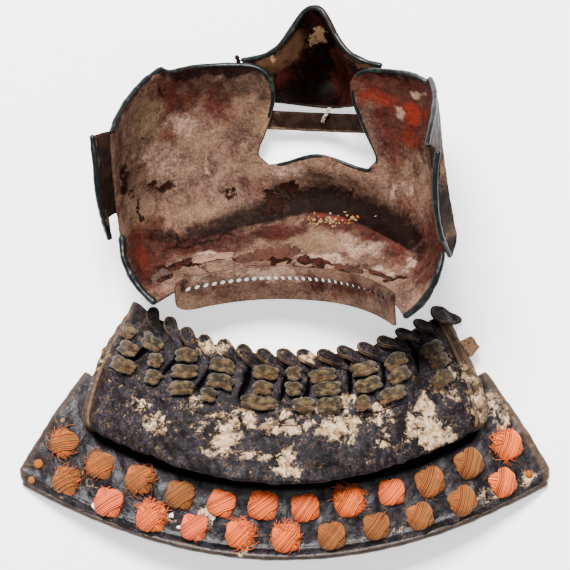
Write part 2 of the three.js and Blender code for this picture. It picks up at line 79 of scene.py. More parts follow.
def unit(vectors: Array) -> Array:
    """Returns vectors scaled to length 1."""
    return vectors / np.maximum(np.linalg.norm(vectors, axis=-1, keepdims=True), 1e-9)


def ripple(points: Array, length: float, seed: int, waves: int = 16) -> Array:
    """Smooth unevenness, mostly between -1 and 1.

    It is a sum of sines along random directions, whose wave lengths are near the one given.

    Args:
        points: Places, with their coordinates in the last axis.
        length: Wave length, in the points' unit.
        seed: Picks the directions and phases.
        waves: How many sines are summed.

    Returns:
        One value for each point.
    """
    rng = np.random.default_rng(seed)
    ways = unit(rng.normal(size=(waves, points.shape[-1])))
    turns = 2 * np.pi / (length * rng.uniform(0.6, 1.7, waves))
    phases = rng.uniform(0, 2 * np.pi, waves)
    return np.sin(points @ (ways * turns[:, None]).T + phases).sum(-1) / math.sqrt(waves)


def uneven(radius: Array | float, path: Array, *waves: tuple[float, float, int]) -> Array:
    """Returns a radius along a path, shaken by ripples given by share, length and seed."""
    return radius * sum((share * ripple(path, length, seed) for share, length, seed in waves), 1)


def catmull(points: Array, at: Array) -> Array:
    """A centripetal Catmull-Rom curve through points.

    Each stretch is a cubic whose end tangents weigh the neighbouring chords by the square root of
    their lengths, and the ends are carried on by mirroring the first and last chord.

    Args:
        points: The points that the curve goes through, one a row.
        at: Places along it from 0 to 1, counted in equal shares for each stretch.

    Returns:
        One point a row.
    """
    points = np.asarray(points, float)
    stretches = len(points) - 1
    place = np.clip(at, 0, 1) * stretches
    start = np.minimum(place.astype(int), stretches - 1)
    t = (place - start)[:, None]
    longer = np.vstack([2 * points[:1] - points[1:2], points, 2 * points[-1:] - points[-2:-1]])
    p0, p1, p2, p3 = (longer[start + k] for k in range(4))
    d0, d1, d2 = (np.sqrt(np.linalg.norm(b - a, axis=1, keepdims=True)) + 1e-9
                  for a, b in ((p0, p1), (p1, p2), (p2, p3)))
    m1 = ((p1 - p0) / d0 - (p2 - p0) / (d0 + d1) + (p2 - p1) / d1) * d1
    m2 = ((p2 - p1) / d1 - (p3 - p1) / (d1 + d2) + (p3 - p2) / d2) * d1
    return (p1 + t * m1 + t**2 * (3 * (p2 - p1) - 2 * m1 - m2)
            + t**3 * (2 * (p1 - p2) + m1 + m2))


def spaced(points: Array, count: int) -> Array:
    """Points spread evenly by length along the Catmull-Rom curve.

    Args:
        points: The points that the curve goes through, one a row.
        count: How many equal steps there are.

    Returns:
        One point more than the steps, one a row.
    """
    fine = catmull(points, np.linspace(0, 1, 40 * len(points)))
    run = np.concatenate([[0], np.cumsum(np.linalg.norm(np.diff(fine, axis=0), axis=1))])
    at = np.linspace(0, run[-1], count + 1)
    return np.stack([np.interp(at, run, fine[:, k]) for k in range(fine.shape[1])], axis=1)


def columns(*parts: Array | float) -> Array:
    """Returns coordinates stacked in a last axis, each spread to their common shape."""
    return np.stack(np.broadcast_arrays(*parts), axis=-1).astype(float)


def turned(points: Array, degrees: float) -> Array:
    """Returns points turned about z, from x towards y."""
    c, s = math.cos(math.radians(degrees)), math.sin(math.radians(degrees))
    return points @ np.array([[c, s, 0], [-s, c, 0], [0, 0, 1]])


# ---- Surfaces ----


@dataclass
class Surface:
    """Points, faces and named values of a mesh in the making.

    Attributes:
        points: One point a row, in millimetres.
        faces: Four corners a row, or three and a -1.
        values: Numbers for each point, which a finish reads as attributes.
    """

    points: Array
    faces: Array
    values: dict[str, Array] = field(default_factory=dict)

    @classmethod
    def of_grid(cls, grid: Array) -> "Surface":
        """Makes a surface from rows of points.

        Args:
            grid: Points by row and column. Seen with rows upwards and columns to the right, the
                front faces the viewer.

        Returns:
            The open surface.
        """
        rows, across = grid.shape[:2]
        corner = np.arange(rows * across).reshape(rows, across)
        faces = np.stack([corner[:-1, :-1], corner[:-1, 1:], corner[1:, 1:], corner[1:, :-1]], -1)
        return cls(grid.reshape(-1, 3).copy(), faces.reshape(-1, 4))

    @classmethod
    def joined(cls, *parts: "Surface") -> "Surface":
        """Joins several surfaces into one.

        Args:
            parts: The surfaces.

        Returns:
            The whole, with 0 where a part lacks a value.
        """
        starts = np.cumsum([0] + [len(part.points) for part in parts[:-1]])
        faces = [np.where(part.faces < 0, -1, part.faces + start) for part, start in zip(parts, starts)]
        names = {name for part in parts for name in part.values}
        values = {name: np.concatenate([part.values.get(name, np.zeros(len(part.points)))
                                        for part in parts]) for name in names}
        return cls(np.concatenate([part.points for part in parts]), np.concatenate(faces), values)

    def welded(self, tolerance: float = 0.01) -> "Surface":
        """Joins points that lie together, and drops faces that this empties.

        Args:
            tolerance: How near they lie, in millimetres.

        Returns:
            The welded surface.
        """
        keys = np.round(self.points / tolerance).astype(np.int64)
        _, first, back = np.unique(keys, axis=0, return_index=True, return_inverse=True)
        faces = np.where(self.faces < 0, -1, back.reshape(-1)[self.faces])
        a, b, c, d = faces.T
        none = np.full_like(a, -1)
        faces = np.where((a == b)[:, None], np.stack([a, c, d, none], 1), faces)
        faces = np.where((b == c)[:, None], np.stack([a, b, d, none], 1), faces)
        faces = np.where(((c == d) | (d == a))[:, None], np.stack([a, b, c, none], 1), faces)
        full = ((faces[:, 0] != faces[:, 1]) & (faces[:, 1] != faces[:, 2])
                & (faces[:, 2] != faces[:, 0]) & (faces[:, 2] >= 0))
        values = {name: value[first] for name, value in self.values.items()}
        return Surface(self.points[first], faces[full], values)

    def spread(self, index: Array, vectors: Array) -> Array:
        """Returns for each point the sum of the vectors that an index gives to it."""
        count = len(self.points)
        return np.stack([np.bincount(index, vectors[:, k], count) for k in range(3)], axis=1)

    def normals(self) -> Array:
        """Returns a unit normal for each point: the sum of its faces' area vectors."""
        last = np.where(self.faces[:, 3] < 0, self.faces[:, 2], self.faces[:, 3])
        a, b, c = (self.points[self.faces[:, k]] for k in range(3))
        area = np.cross(c - a, self.points[last] - b)
        total = sum(self.spread(self.faces[:, k], area) for k in range(3))
        square = self.faces[:, 3] >= 0
        return unit(total + self.spread(self.faces[square, 3], area[square]))

    def dent(self, *waves: tuple[float, float, int]) -> None:
        """Moves the points along their normals by ripples, each given by height, length and seed."""
        heights = sum(height * ripple(self.points, length, seed) for height, length, seed in waves)
        self.points += self.normals() * heights[:, None]

    def paint(self, place: "Place", **covers: tuple["Patch", ...]) -> None:
        """Gives each point its covers by named patches, as seen in plan once it is in its place."""
        seen = place.carry(self.points)
        self.values.update({name: painted(seen, marks) for name, marks in covers.items()})

    def fill(self, **numbers: float) -> None:
        """Gives all points the same named values."""
        self.values.update({name: np.full(len(self.points), number) for name, number in numbers.items()})

    def open_edges(self) -> tuple[Array, Array]:
        """Returns the two ends of each edge that only one face has, in that face's order."""
        square = self.faces[:, 3] >= 0
        three = self.faces[~square, :3]
        four = self.faces[square]
        starts = np.concatenate([four.ravel(), three.ravel()])
        ends = np.concatenate([np.roll(four, -1, axis=1).ravel(), np.roll(three, -1, axis=1).ravel()])
        count = len(self.points)
        alone = ~np.isin(starts * count + ends, ends * count + starts)
        return starts[alone], ends[alone]

    def thickened(self, thickness: Array | float, steps: int = 5, bulge: float = 1.0) -> "Surface":
        """Gives the surface a wall behind it, with a half-round edge.

        The back is the front moved against its normals. Round the open edges a half ellipse of a
        few steps, bulging outwards in the surface, joins the two.

        Args:
            thickness: The wall's thickness, for all points or for each.
            steps: Flats of the half-round edge.
            bulge: How far the edge bulges, as a share of half the thickness.

        Returns:
            The closed wall, with the value "back": 0 in front, 1 behind.
        """
        count = len(self.points)
        normals = self.normals()
        away = -normals * np.broadcast_to(thickness, count)[:, None]
        start, end = self.open_edges()
        edge = np.cross(unit(self.points[end] - self.points[start]), normals[start])
        out = unit(self.spread(start, edge) + self.spread(end, edge))
        rim = np.unique(start)
        slot = np.zeros(count, int)
        slot[rim] = np.arange(len(rim))
        turns = np.pi * np.arange(1, steps) / steps
        half = np.linalg.norm(away, axis=1, keepdims=True)[rim] / 2
        rings = [self.points[rim] + away[rim] * (1 - math.cos(turn)) / 2
                 + out[rim] * half * bulge * math.sin(turn) for turn in turns]
        where = [np.arange(count)] + [2 * count + k * len(rim) + slot for k in range(steps - 1)]
        where.append(np.arange(count) + count)
        sides = [np.stack([near[end], near[start], far[start], far[end]], 1)
                 for near, far in zip(where[:-1], where[1:])]
        behind = self.faces[:, ::-1] + count
        three = self.faces[:, 3] < 0
        behind[three] = np.column_stack([self.faces[three][:, 2::-1] + count, np.full(three.sum(), -1)])
        points = np.concatenate([self.points, self.points + away, *rings])
        values = {name: np.concatenate([value, value] + [value[rim]] * (steps - 1))
                  for name, value in self.values.items()}
        middle = np.repeat(0.5, len(rim) * (steps - 1))
        values["back"] = np.concatenate([np.zeros(count), np.ones(count), middle])
        return Surface(points, np.concatenate([self.faces, behind, *sides]), values)


def tubes(paths: Array, radii: Array | float, up: Array, sides: int = 8,
          shape: tuple[float, float] = (1.0, 1.0), round_ends: bool = True) -> Surface:
    """Carries an ellipse along each of several paths, as closed tubes.

    At each step the ellipse stands square to the path. Its first axis is up x tangent and its
    second is square to both, nearest to up. The ends close in a half sphere.

    Args:
        paths: Points by path and step.
        radii: Radius, for all or by path and step.
        up: A direction that no path follows, for all or by path and step.
        sides: Flats round a tube.
        shape: The ellipse's half axes, as shares of the radius.
        round_ends: Whether each path is carried on into a half sphere.

    Returns:
        All tubes as one closed surface, with the value "low": 0 on its crown, 1 underneath.
    """
    radii = np.broadcast_to(radii, paths.shape[:2]).astype(float)
    up = np.broadcast_to(up, paths.shape).astype(float)
    if round_ends:
        reach = np.array([0.5, 0.85, 0.98])
        shrink = np.sqrt(1 - reach**2)
        first = unit(paths[:, :1] - paths[:, 1:2]) * radii[:, :1, None] * reach[::-1][None, :, None]
        final = unit(paths[:, -1:] - paths[:, -2:-1]) * radii[:, -1:, None] * reach[None, :, None]
        paths = np.concatenate([paths[:, :1] + first, paths, paths[:, -1:] + final], axis=1)
        radii = np.concatenate([radii[:, :1] * shrink[::-1], radii, radii[:, -1:] * shrink], axis=1)
        up = np.concatenate([np.repeat(up[:, :1], 3, 1), up, np.repeat(up[:, -1:], 3, 1)], axis=1)
    tangent = unit(np.gradient(paths, axis=1))
    side = unit(np.cross(up, tangent))
    lift = np.cross(tangent, side)
    turn = np.linspace(0, 2 * np.pi, sides, endpoint=False)[None, None, :, None]
    ring = side[:, :, None] * np.cos(turn) * shape[0] + lift[:, :, None] * np.sin(turn) * shape[1]
    skin = paths[:, :, None] + ring * radii[:, :, None, None]
    many, steps = paths.shape[:2]
    corner = np.arange(many * steps * sides).reshape(many, steps, sides)
    beside = np.roll(corner, -1, axis=2)
    walls = np.stack([corner[:, :-1], beside[:, :-1], beside[:, 1:], corner[:, 1:]], -1).reshape(-1, 4)
    poles = corner.size + np.arange(2 * many).reshape(2, many, 1) + np.zeros((1, 1, sides), int)
    none = np.full((many, sides), -1)
    starts = np.stack([beside[:, 0], corner[:, 0], poles[0], none], -1).reshape(-1, 4)
    ends = np.stack([corner[:, -1], beside[:, -1], poles[1], none], -1).reshape(-1, 4)
    points = np.concatenate([skin.reshape(-1, 3), paths[:, 0], paths[:, -1]])
    depth = np.broadcast_to(0.5 - 0.5 * np.sin(turn[..., 0]), (many, steps, sides)).ravel()
    low = np.concatenate([depth, np.full(2 * many, 0.5)])
    return Surface(points, np.concatenate([walls, starts, ends]), {"low": low})


# ---- Places ----


@dataclass(frozen=True)
class Place:
    """Where a group lies: turned about its own x, y and z in the order z, x, y, then moved.

    Attributes:
        turns: Turns about x, y and z, in degrees.
        shift: The way it is moved, in millimetres.
    """

    turns: tuple[float, float, float]
    shift: tuple[float, float, float]

    def matrix(self) -> Array:
        """Returns the rotation matrix Rz Rx Ry."""
        a, b, c = np.radians(self.turns)
        about_x = np.array([[1, 0, 0], [0, math.cos(a), -math.sin(a)], [0, math.sin(a), math.cos(a)]])
        about_y = np.array([[math.cos(b), 0, math.sin(b)], [0, 1, 0], [-math.sin(b), 0, math.cos(b)]])
        about_z = np.array([[math.cos(c), -math.sin(c), 0], [math.sin(c), math.cos(c), 0], [0, 0, 1]])
        return about_z @ about_x @ about_y

    def carry(self, points: Array) -> Array:
        """Returns points of the group in the object's frame, in millimetres."""
        return points @ self.matrix().T + np.array(self.shift)


MASK_PLACE = Place(turns=(20.0, -20.0, 4.0), shift=(16.5, 58.082, 18.36))
GUARD_PLACE = Place(turns=(0.0, 0.0, 0.0), shift=(0.0, -0.918, -0.197))
OBJECT_PLACE = Place(turns=(0.0, 0.0, 0.0), shift=(0.0, 0.0, 0.0))


@dataclass(frozen=True)
class Patch:
    """A worn or stained patch in plan: its middle, half sizes and turn, and how strong it is."""

    x: float
    y: float
    half_x: float
    half_y: float
    turn: float
    strength: float


def patches(*rows: tuple[float, ...]) -> tuple[Patch, ...]:
    """Returns patches from rows of middle x and y, half size x and y, turn and strength."""
    return tuple(Patch(*row) for row in rows)


def painted(points: Array, marks: tuple[Patch, ...]) -> Array:
    """How strongly each point is covered by patches, seen in plan.

    A patch is full inside about a third of its ellipse, half at the ellipse and gone at one and a
    half times it. Where patches meet, the strongest counts. The places are first shaken by two
    sizes of ripple, so that no outline stays an ellipse.

    Args:
        points: Places in the object's frame, in millimetres.
        marks: The patches.

    Returns:
        A share from 0 to 1 for each point.
    """
    x, y, half_x, half_y, turn, strength = np.array([astuple(patch) for patch in marks]).T
    shaken = [points[:, k:k + 1] + 1.5 * ripple(points, 12, 600 + k)[:, None]
              + 0.6 * ripple(points, 4, 610 + k)[:, None] for k in (0, 1)]
    across, along = shaken[0] - x, shaken[1] - y
    turn = np.radians(turn)
    u = (across * np.cos(turn) + along * np.sin(turn)) / half_x
    v = (along * np.cos(turn) - across * np.sin(turn)) / half_y
    return (strength * (1 - smoothstep(np.hypot(u, v), 0.4, 1.6))).max(axis=1)


# ---- Finishes ----


def linear(code: str) -> tuple[float, float, float, float]:
    """Returns an sRGB hex colour as a linear one with full alpha."""
    parts = [int(code[k:k + 2], 16) / 255 for k in (1, 3, 5)]
    return tuple(p / 12.92 if p <= 0.04045 else ((p + 0.055) / 1.055) ** 2.4 for p in parts) + (1.0,)


Socket = bpy.types.NodeSocket
Given = Socket | float | tuple | str


class Shader:
    """A material's nodes, filled by a few short methods.

    Its base colour is laid in coats over a first one, and its normal is bent by one bump after the
    other. Sizes of patterns are in millimetres, and colours are sRGB hex codes or sockets.
    """

    def __init__(self, name: str, first: Given) -> None:
        """Starts a material with one Principled shader.

        Args:
            name: The material's name.
            first: Its first colour.
        """
        self.material = bpy.data.materials.new(name)
        self.material.use_nodes = True
        self.tree = self.material.node_tree
        self.principled = self.tree.nodes["Principled BSDF"]
        self.coords = self.add("ShaderNodeTexCoord").outputs["Object"]
        self.colour = first
        self.normal: Socket | None = None

    def put(self, value: Given, socket: Socket) -> None:
        """Links a socket to an input, or sets the input.

        Args:
            value: A socket, a number, a tuple or a hex colour.
            socket: The input.
        """
        if isinstance(value, Socket):
            self.tree.links.new(value, socket)
        else:
            socket.default_value = linear(value) if isinstance(value, str) else value

    def add(self, kind: str, inputs: dict | None = None, **settings: object) -> bpy.types.Node:
        """Adds a node.

        Args:
            kind: Its type name.
            inputs: Sockets or constants for its inputs, by name or number.
            settings: Its properties.

        Returns:
            The node.
        """
        node = self.tree.nodes.new(kind)
        for name, value in settings.items():
            setattr(node, name, value)
        for key, value in (inputs or {}).items():
            self.put(value, node.inputs[key])
        return node

    def attribute(self, name: str) -> Socket:
        """Returns a value that the mesh carries for each point."""
        return self.add("ShaderNodeAttribute", attribute_name=name).outputs["Fac"]

    def stretched(self, scale: tuple[float, float, float]) -> Socket:
        """Returns the object's coordinates, each multiplied by its own scale."""
        return self.add("ShaderNodeMapping", {"Vector": self.coords, "Scale": scale}).outputs["Vector"]

    def noise(self, size: float, detail: float = 4.0, rough: float = 0.55, warp: float = 0.0,
              coords: Socket | None = None) -> Socket:
        """A cloudy pattern around 0.5.

        Args:
            size: Size of its largest clouds.
            detail: How many times finer clouds are added.
            rough: How strong the finer clouds are.
            warp: How much the clouds are twisted.
            coords: The coordinates it lies in, if not the object's own.

        Returns:
            The pattern's value.
        """
        inputs = {"Vector": coords or self.coords, "Scale": 1 / (size * MM), "Detail": detail,
                  "Roughness": rough, "Distortion": warp}
        return self.add("ShaderNodeTexNoise", inputs).outputs["Fac"]

    def ramp(self, value: Given, low: float, high: float, start: float = 0.0, end: float = 1.0) -> Socket:
        """Returns start below low, end above high, and a smooth change between them."""
        inputs = {"Value": value, 1: low, 2: high, 3: start, 4: end}
        return self.add("ShaderNodeMapRange", inputs, interpolation_type="SMOOTHSTEP").outputs["Result"]

    def math(self, operation: str, first: Given, second: Given) -> Socket:
        """Returns a sum, product or other result of two numbers."""
        return self.add("ShaderNodeMath", {0: first, 1: second}, operation=operation).outputs[0]

    def mix(self, share: Given, first: Given, second: Given, blend: str = "MIX") -> Socket:
        """Returns a mix of two colours."""
        node = self.add("ShaderNodeMix", {0: share, 6: first, 7: second}, data_type="RGBA", blend_type=blend)
        return node.outputs[2]

    def cover(self, value: Socket, edge: Socket, ragged: float, soft: float) -> Socket:
        """Returns a painted value with a ragged edge where it and a noise pass a half."""
        shaken = self.math("ADD", value, self.math("MULTIPLY", self.math("SUBTRACT", edge, 0.5), ragged))
        return self.ramp(shaken, 0.5 - soft, 0.5 + soft)

    def patch(self, name: str, edge: Socket, ragged: float, soft: float) -> Socket:
        """Returns a painted cover that is gone wherever its value is 0."""
        value = self.attribute(name)
        return self.math("MULTIPLY", self.cover(value, edge, ragged, soft), self.ramp(value, 0.02, 0.2))

    def coat(self, cover: Given, colour: Given, amount: float = 1.0) -> None:
        """Lays a coat of colour over the colour so far, as thick as a cover times an amount."""
        share = cover if amount == 1 else self.math("MULTIPLY", cover, amount)
        self.colour = self.mix(share, self.colour, colour)

    def stain(self, value: Socket, low: float, high: float, colour: Given, most: float = 1.0) -> None:
        """Lays a coat that grows from none where a value is low to its most where it is high."""
        self.coat(self.ramp(value, low, high, 0, most), colour)

    def bump(self, height: Socket, distance: float, strength: float) -> None:
        """Bends the normal, on top of the bumps so far.

        Args:
            height: The height that bends it.
            distance: The height's full depth, in millimetres.
            strength: How much of the bend is kept.
        """
        inputs = {"Height": height, "Distance": distance * MM, "Strength": strength}
        if self.normal is not None:
            inputs["Normal"] = self.normal
        self.normal = self.add("ShaderNodeBump", inputs).outputs["Normal"]

    def finish(self, roughness: Given, specular: Given = 0.08, **constants: float) -> bpy.types.Material:
        """Sets the Principled shader.

        Args:
            roughness: Roughness.
            specular: Specular level, low by default, because old lacquer and dust reflect little.
            constants: Other sockets, with _ for a space in their names.

        Returns:
            The finished material.
        """
        given = {"Base Color": self.colour, "Roughness": roughness, "Specular IOR Level": specular}
        if self.normal is not None:
            given["Normal"] = self.normal
        given.update({name.replace("_", " "): value for name, value in constants.items()})
        for name, value in given.items():
            self.put(value, self.principled.inputs[name])
        return self.material


@dataclass(frozen=True)
class InsideLacquer:
    """Worn red lacquer brushed on iron, gone beige-brown over most of the mask's hollow side.

    To the eye it is dull and mottled, with soft red stains, painted shade in the chin's hollow and
    under the cheeks' top rims, and ragged rust where it has flaked. It reads the values red, bright,
    ochre, pale, dark, rust, grey and dim as painted covers, dark and dim laying painted shade as well
    as darker marks, and back for the outer side, which is dark russet iron. Its clouds are 10 to 17 mm
    wide, its stains' edges break up at 5 mm and its grain is 1.3 mm, coarser than real grit so it shows.
    """

    beige: str = "#6a4f40"
    plum: str = "#3a2822"
    ochre: str = "#66503a"
    dark_red: str = "#240a08"
    red: str = "#3c100c"
    bright_red: str = "#6c2014"
    pale: str = "#a08270"
    grime_and_shade: str = "#0b0302"
    rust: str = "#26110a"
    putty: str = "#3c3028"
    outside: str = "#2a201a"

    def lay_ground(self, shader: Shader, fine: Socket) -> None:
        """Lays the mottled beige-brown ground with its stains and its fine grain.

        Args:
            shader: The material's nodes.
            fine: The grain.
        """
        shader.stain(shader.noise(13, 9, 0.7, 0.5), 0.34, 0.68, self.plum)
        shader.stain(shader.noise(10, 9, 0.72), 0.5, 0.7, self.ochre, 0.5)
        shader.stain(shader.noise(17, 7, 0.7, 0.8), 0.52, 0.66, self.red, 0.5)
        streaks = shader.noise(2.6, 8, 0.75, coords=shader.stretched((1.0, 0.3, 0.6)))
        shader.stain(streaks, 0.54, 0.74, self.pale, 0.4)
        shader.stain(fine, 0.52, 0.66, self.ochre, 0.4)

    def material(self) -> bpy.types.Material:
        """Returns the finished material."""
        shader = Shader("worn_red_lacquer", self.beige)
        edge = shader.noise(5, 10, 0.72, 0.4)
        fine = shader.noise(1.3, 8, 0.72)
        self.lay_ground(shader, fine)
        shader.coat(shader.patch("ochre", edge, 1.6, 0.45), self.ochre, 0.6)
        red = shader.patch("red", edge, 1.9, 0.45)
        reds = shader.mix(shader.ramp(shader.noise(7, 8, 0.7), 0.4, 0.62), self.dark_red, self.red)
        shader.coat(red, reds, 0.84)
        shader.coat(shader.patch("bright", edge, 1.4, 0.45), self.bright_red, 0.8)
        # Painted shade in the chin's hollow and under the cheeks' top rims, with the dark marks, as one
        # near-black coat.
        dark = shader.math("MULTIPLY", shader.patch("dark", edge, 1.2, 0.42), 0.97)
        dim = shader.math("MULTIPLY", shader.attribute("dim"), shader.ramp(edge, 0.3, 0.6, 0.75, 1.0))
        shader.coat(shader.math("MAXIMUM", dark, dim), self.grime_and_shade)
        shader.coat(shader.patch("pale", shader.noise(3, 10, 0.8, 0.4), 2.4, 0.4), self.pale, 0.6)
        shader.coat(shader.patch("grey", edge, 1.0, 0.1), self.putty)
        rust = shader.patch("rust", shader.noise(3, 9, 0.75), 3.0, 0.06)
        shader.coat(rust, shader.mix(fine, self.grime_and_shade, self.rust))
        specks = shader.ramp(shader.noise(2.2, 10, 0.8), 0.585, 0.65, 0, 0.85)
        shader.coat(specks, self.grime_and_shade)
        grain = shader.ramp(fine, 0.36, 0.62, 0.62, 1.18)
        shader.colour = shader.mix(1.0, shader.colour, grain, "MULTIPLY")
        outside = shader.mix(shader.ramp(edge, 0.4, 0.7), self.outside, self.rust)
        shader.coat(shader.attribute("back"), outside)
        shader.bump(shader.noise(9, 7, 0.65), 1.6, 0.6)
        shader.bump(shader.math("ADD", fine, shader.math("MULTIPLY", red, 0.3)), 0.4, 0.7)
        shader.bump(shader.math("MULTIPLY", rust, fine), -0.9, 0.9)
        rough = shader.math("ADD", shader.ramp(red, 0, 1, 0.62, 0.4), shader.math("MULTIPLY", fine, 0.1))
        return shader.finish(rough, 0.04)


@dataclass(frozen=True)
class NoseLacquer:
    """Maroon lacquer brushed inside the nose, browner towards its edge.

    To the eye it is a deep, nearly black red that turns brown where hands have rubbed it. Its near-black
    ground partly stands for the hollow's shade, and the value dim paints shade at the hollow's bottom.
    """

    maroon: str = "#180504"
    smoke: str = "#030101"
    brown: str = "#4a3222"
    red: str = "#421410"
    pale: str = "#86694c"
    outside: str = "#2a201a"

    def material(self) -> bpy.types.Material:
        """Returns the finished material."""
        shader = Shader("maroon_lacquer", self.smoke)
        edge = shader.noise(6, 9, 0.72, 0.4)
        fine = shader.noise(1.3, 8, 0.72)
        shader.stain(edge, 0.4, 0.6, self.maroon)
        shader.coat(shader.patch("ochre", edge, 2.0, 0.35), self.brown, 0.75)
        shader.coat(shader.patch("red", edge, 2.0, 0.35), self.red, 0.45)
        shader.coat(shader.patch("pale", shader.noise(2.2, 9, 0.78), 2.4, 0.1), self.pale, 0.75)
        shader.stain(fine, 0.52, 0.68, self.brown, 0.4)
        # Painted shade at the bottom of the hollow, near black.
        shader.coat(shader.attribute("dim"), self.smoke)
        shader.coat(shader.attribute("back"), self.outside)
        shader.bump(shader.noise(7, 6), 0.8, 0.5)
        shader.bump(fine, 0.25, 0.6)
        return shader.finish(shader.ramp(fine, 0.3, 0.7, 0.5, 0.68), 0.03)


@dataclass(frozen=True)
class RolledRim:
    """Blue-black lacquer on a rolled iron edge, polished by handling, with a little green patina.

    To the eye it is the glossiest dark line of the mask, with rubbed spots 6 mm wide.
    """

    black: str = "#0a0c0c"
    rubbed: str = "#1e2323"
    patina: str = "#222e24"

    def material(self) -> bpy.types.Material:
        """Returns the finished material."""
        shader = Shader("blue_black_rim", self.black)
        fine = shader.noise(0.9, 5, 0.65)
        shader.stain(shader.noise(6, 8, 0.7), 0.5, 0.68, self.rubbed)
        shader.stain(shader.noise(14, 4), 0.60, 0.70, self.patina, 0.6)
        shader.bump(fine, 0.12, 0.6)
        return shader.finish(shader.ramp(fine, 0.3, 0.7, 0.26, 0.46), 0.2)


@dataclass(frozen=True)
class FlakedLacquer:
    """Black lacquer, brushed on and polished, flaked down to its tan ground.

    To the eye it is slate and black with cream islands, whose ragged edges stand a little proud. It
    reads the value flake as a painted cover, worn for rubbed edges, which on the scale heads' rims is
    also a painted highlight, white for spilt gofun, and one more value for painted shade and painted
    shadow, which it lays black and without shine.

    Attributes:
        name: The material's name.
        amount: How much of the surface has flaked besides the painted patches.
        gloss: Roughness where the lacquer is whole.
        dust: How thick tan dust lies in it.
        shine: The whole lacquer's specular level.
    """

    name: str
    amount: float
    gloss: float
    dust: float
    shine: float
    black: str = "#060508"
    slate: str = "#1d1b23"
    gap: str = "#040304"
    brown: str = "#2e2218"
    tan: str = "#86684a"
    cream: str = "#c4a888"
    white: str = "#e6ddd2"

    def material(self) -> bpy.types.Material:
        """Returns the finished material."""
        shader = Shader(self.name, self.black)
        cloud = shader.noise(8, 10, 0.74, 0.6)
        edge = shader.noise(5, 14, 0.82, 0.4)
        fine = shader.noise(1.1, 9, 0.75)
        shader.stain(cloud, 0.42, 0.62, self.slate)
        shader.stain(shader.noise(5, 9, 0.75), 0.52, 0.64, self.brown, 0.7)
        flake = shader.cover(shader.math("ADD", shader.attribute("flake"), self.amount), edge, 5.0, 0.12)
        bare = shader.mix(shader.ramp(shader.noise(4, 8, 0.7), 0.40, 0.58), self.tan, self.cream)
        shader.coat(flake, shader.mix(shader.ramp(fine, 0.53, 0.64, 0, 0.8), bare, self.brown))
        where = shader.ramp(cloud, 0.45, 0.6, 0.1, 0.6)
        shader.coat(shader.math("MULTIPLY", shader.ramp(fine, 0.5, 0.66), where), self.tan, self.dust)
        pits = shader.ramp(shader.noise(1.8, 10, 0.85), 0.58, 0.64, 0, 0.9)
        shader.coat(pits, self.gap)
        # Painted shade in gaps and hollows, and the painted shadow of the upper lame: black, with the shine
        # taken away there as well.
        groove = shader.ramp(shader.attribute("groove"), 0.2, 0.8)
        shader.coat(groove, self.gap)
        rubbed = shader.ramp(edge, 0.35, 0.6, 0.3, 1)
        # Rubbed tan ground; on the scale heads' rims it is also a painted highlight.
        shader.coat(shader.math("MULTIPLY", shader.attribute("worn"), rubbed), self.tan)
        shader.coat(shader.cover(shader.attribute("white"), fine, 1.6, 0.1), self.white)
        shader.bump(shader.noise(7, 8, 0.66), 1.2, 0.6)
        shader.bump(shader.math("ADD", flake, shader.math("MULTIPLY", pits, 0.6)), -0.4, 0.8)
        shader.bump(fine, 0.22, 0.7)
        rough = shader.ramp(flake, 0, 1, self.gloss, 0.8)
        shine = shader.math("MULTIPLY", shader.math("SUBTRACT", 1.0, groove), self.shine)
        return shader.finish(shader.math("ADD", rough, shader.math("MULTIPLY", fine, 0.12)), shine)


@dataclass(frozen=True)
class BrownLacquer:
    """Half-dull dark brown lacquer, brushed on iron. The value worn bares its tan ground."""

    dark: str = "#160d0a"
    middle: str = "#241812"
    brown: str = "#403026"
    tan: str = "#6e5644"

    def material(self) -> bpy.types.Material:
        """Returns the finished material."""
        shader = Shader("brown_lacquer", self.dark)
        fine = shader.noise(1.0, 6, 0.65)
        worn = shader.patch("worn", shader.noise(4, 8, 0.7), 0.8, 0.25)
        shader.stain(shader.noise(6, 6), 0.4, 0.65, self.middle)
        shader.coat(worn, shader.mix(shader.ramp(fine, 0.35, 0.65), self.brown, self.tan))
        shader.bump(fine, 0.2, 0.6)
        return shader.finish(shader.ramp(worn, 0, 1, 0.55, 0.75), 0.03)


@dataclass(frozen=True)
class OldIron:
    """Forged brown iron with a pale rubbed crown, which catches a small soft light."""

    brown: str = "#7a6450"
    pale: str = "#b8a890"

    def material(self) -> bpy.types.Material:
        """Returns the finished material."""
        shader = Shader("old_iron", self.brown)
        fine = shader.noise(0.8, 5, 0.6)
        shader.stain(fine, 0.4, 0.6, self.pale)
        shader.bump(fine, 0.15, 0.7)
        return shader.finish(0.5, Metallic=0.4)


@dataclass(frozen=True)
class Braid:
    """Faded olive silk, braided flat, dull and ribbed about every millimetre.

    The value under shows its orange-brown underside, and low paints shade on its flanks.
    """

    olive: str = "#1e1a11"
    dust: str = "#55462f"
    under: str = "#5a3414"
    gap: str = "#0e0a06"

    def material(self) -> bpy.types.Material:
        """Returns the finished material."""
        shader = Shader("olive_braid", self.olive)
        ribs = shader.noise(0.9, 3, 0.6, coords=shader.stretched((0.35, 1.6, 1.0)))
        shader.stain(shader.noise(3, 6), 0.4, 0.65, self.dust)
        shader.coat(shader.attribute("under"), self.under)
        shader.stain(ribs, 0.5, 0.66, self.gap, 0.6)
        # Painted shade on the flanks of each stub.
        shader.stain(shader.attribute("low"), 0.18, 0.5, self.gap, 0.92)
        shader.bump(ribs, 0.5, 0.8)
        shader.bump(shader.noise(0.8, 6, 0.7), 0.25, 0.7)
        return shader.finish(0.88, Sheen_Weight=0.15)


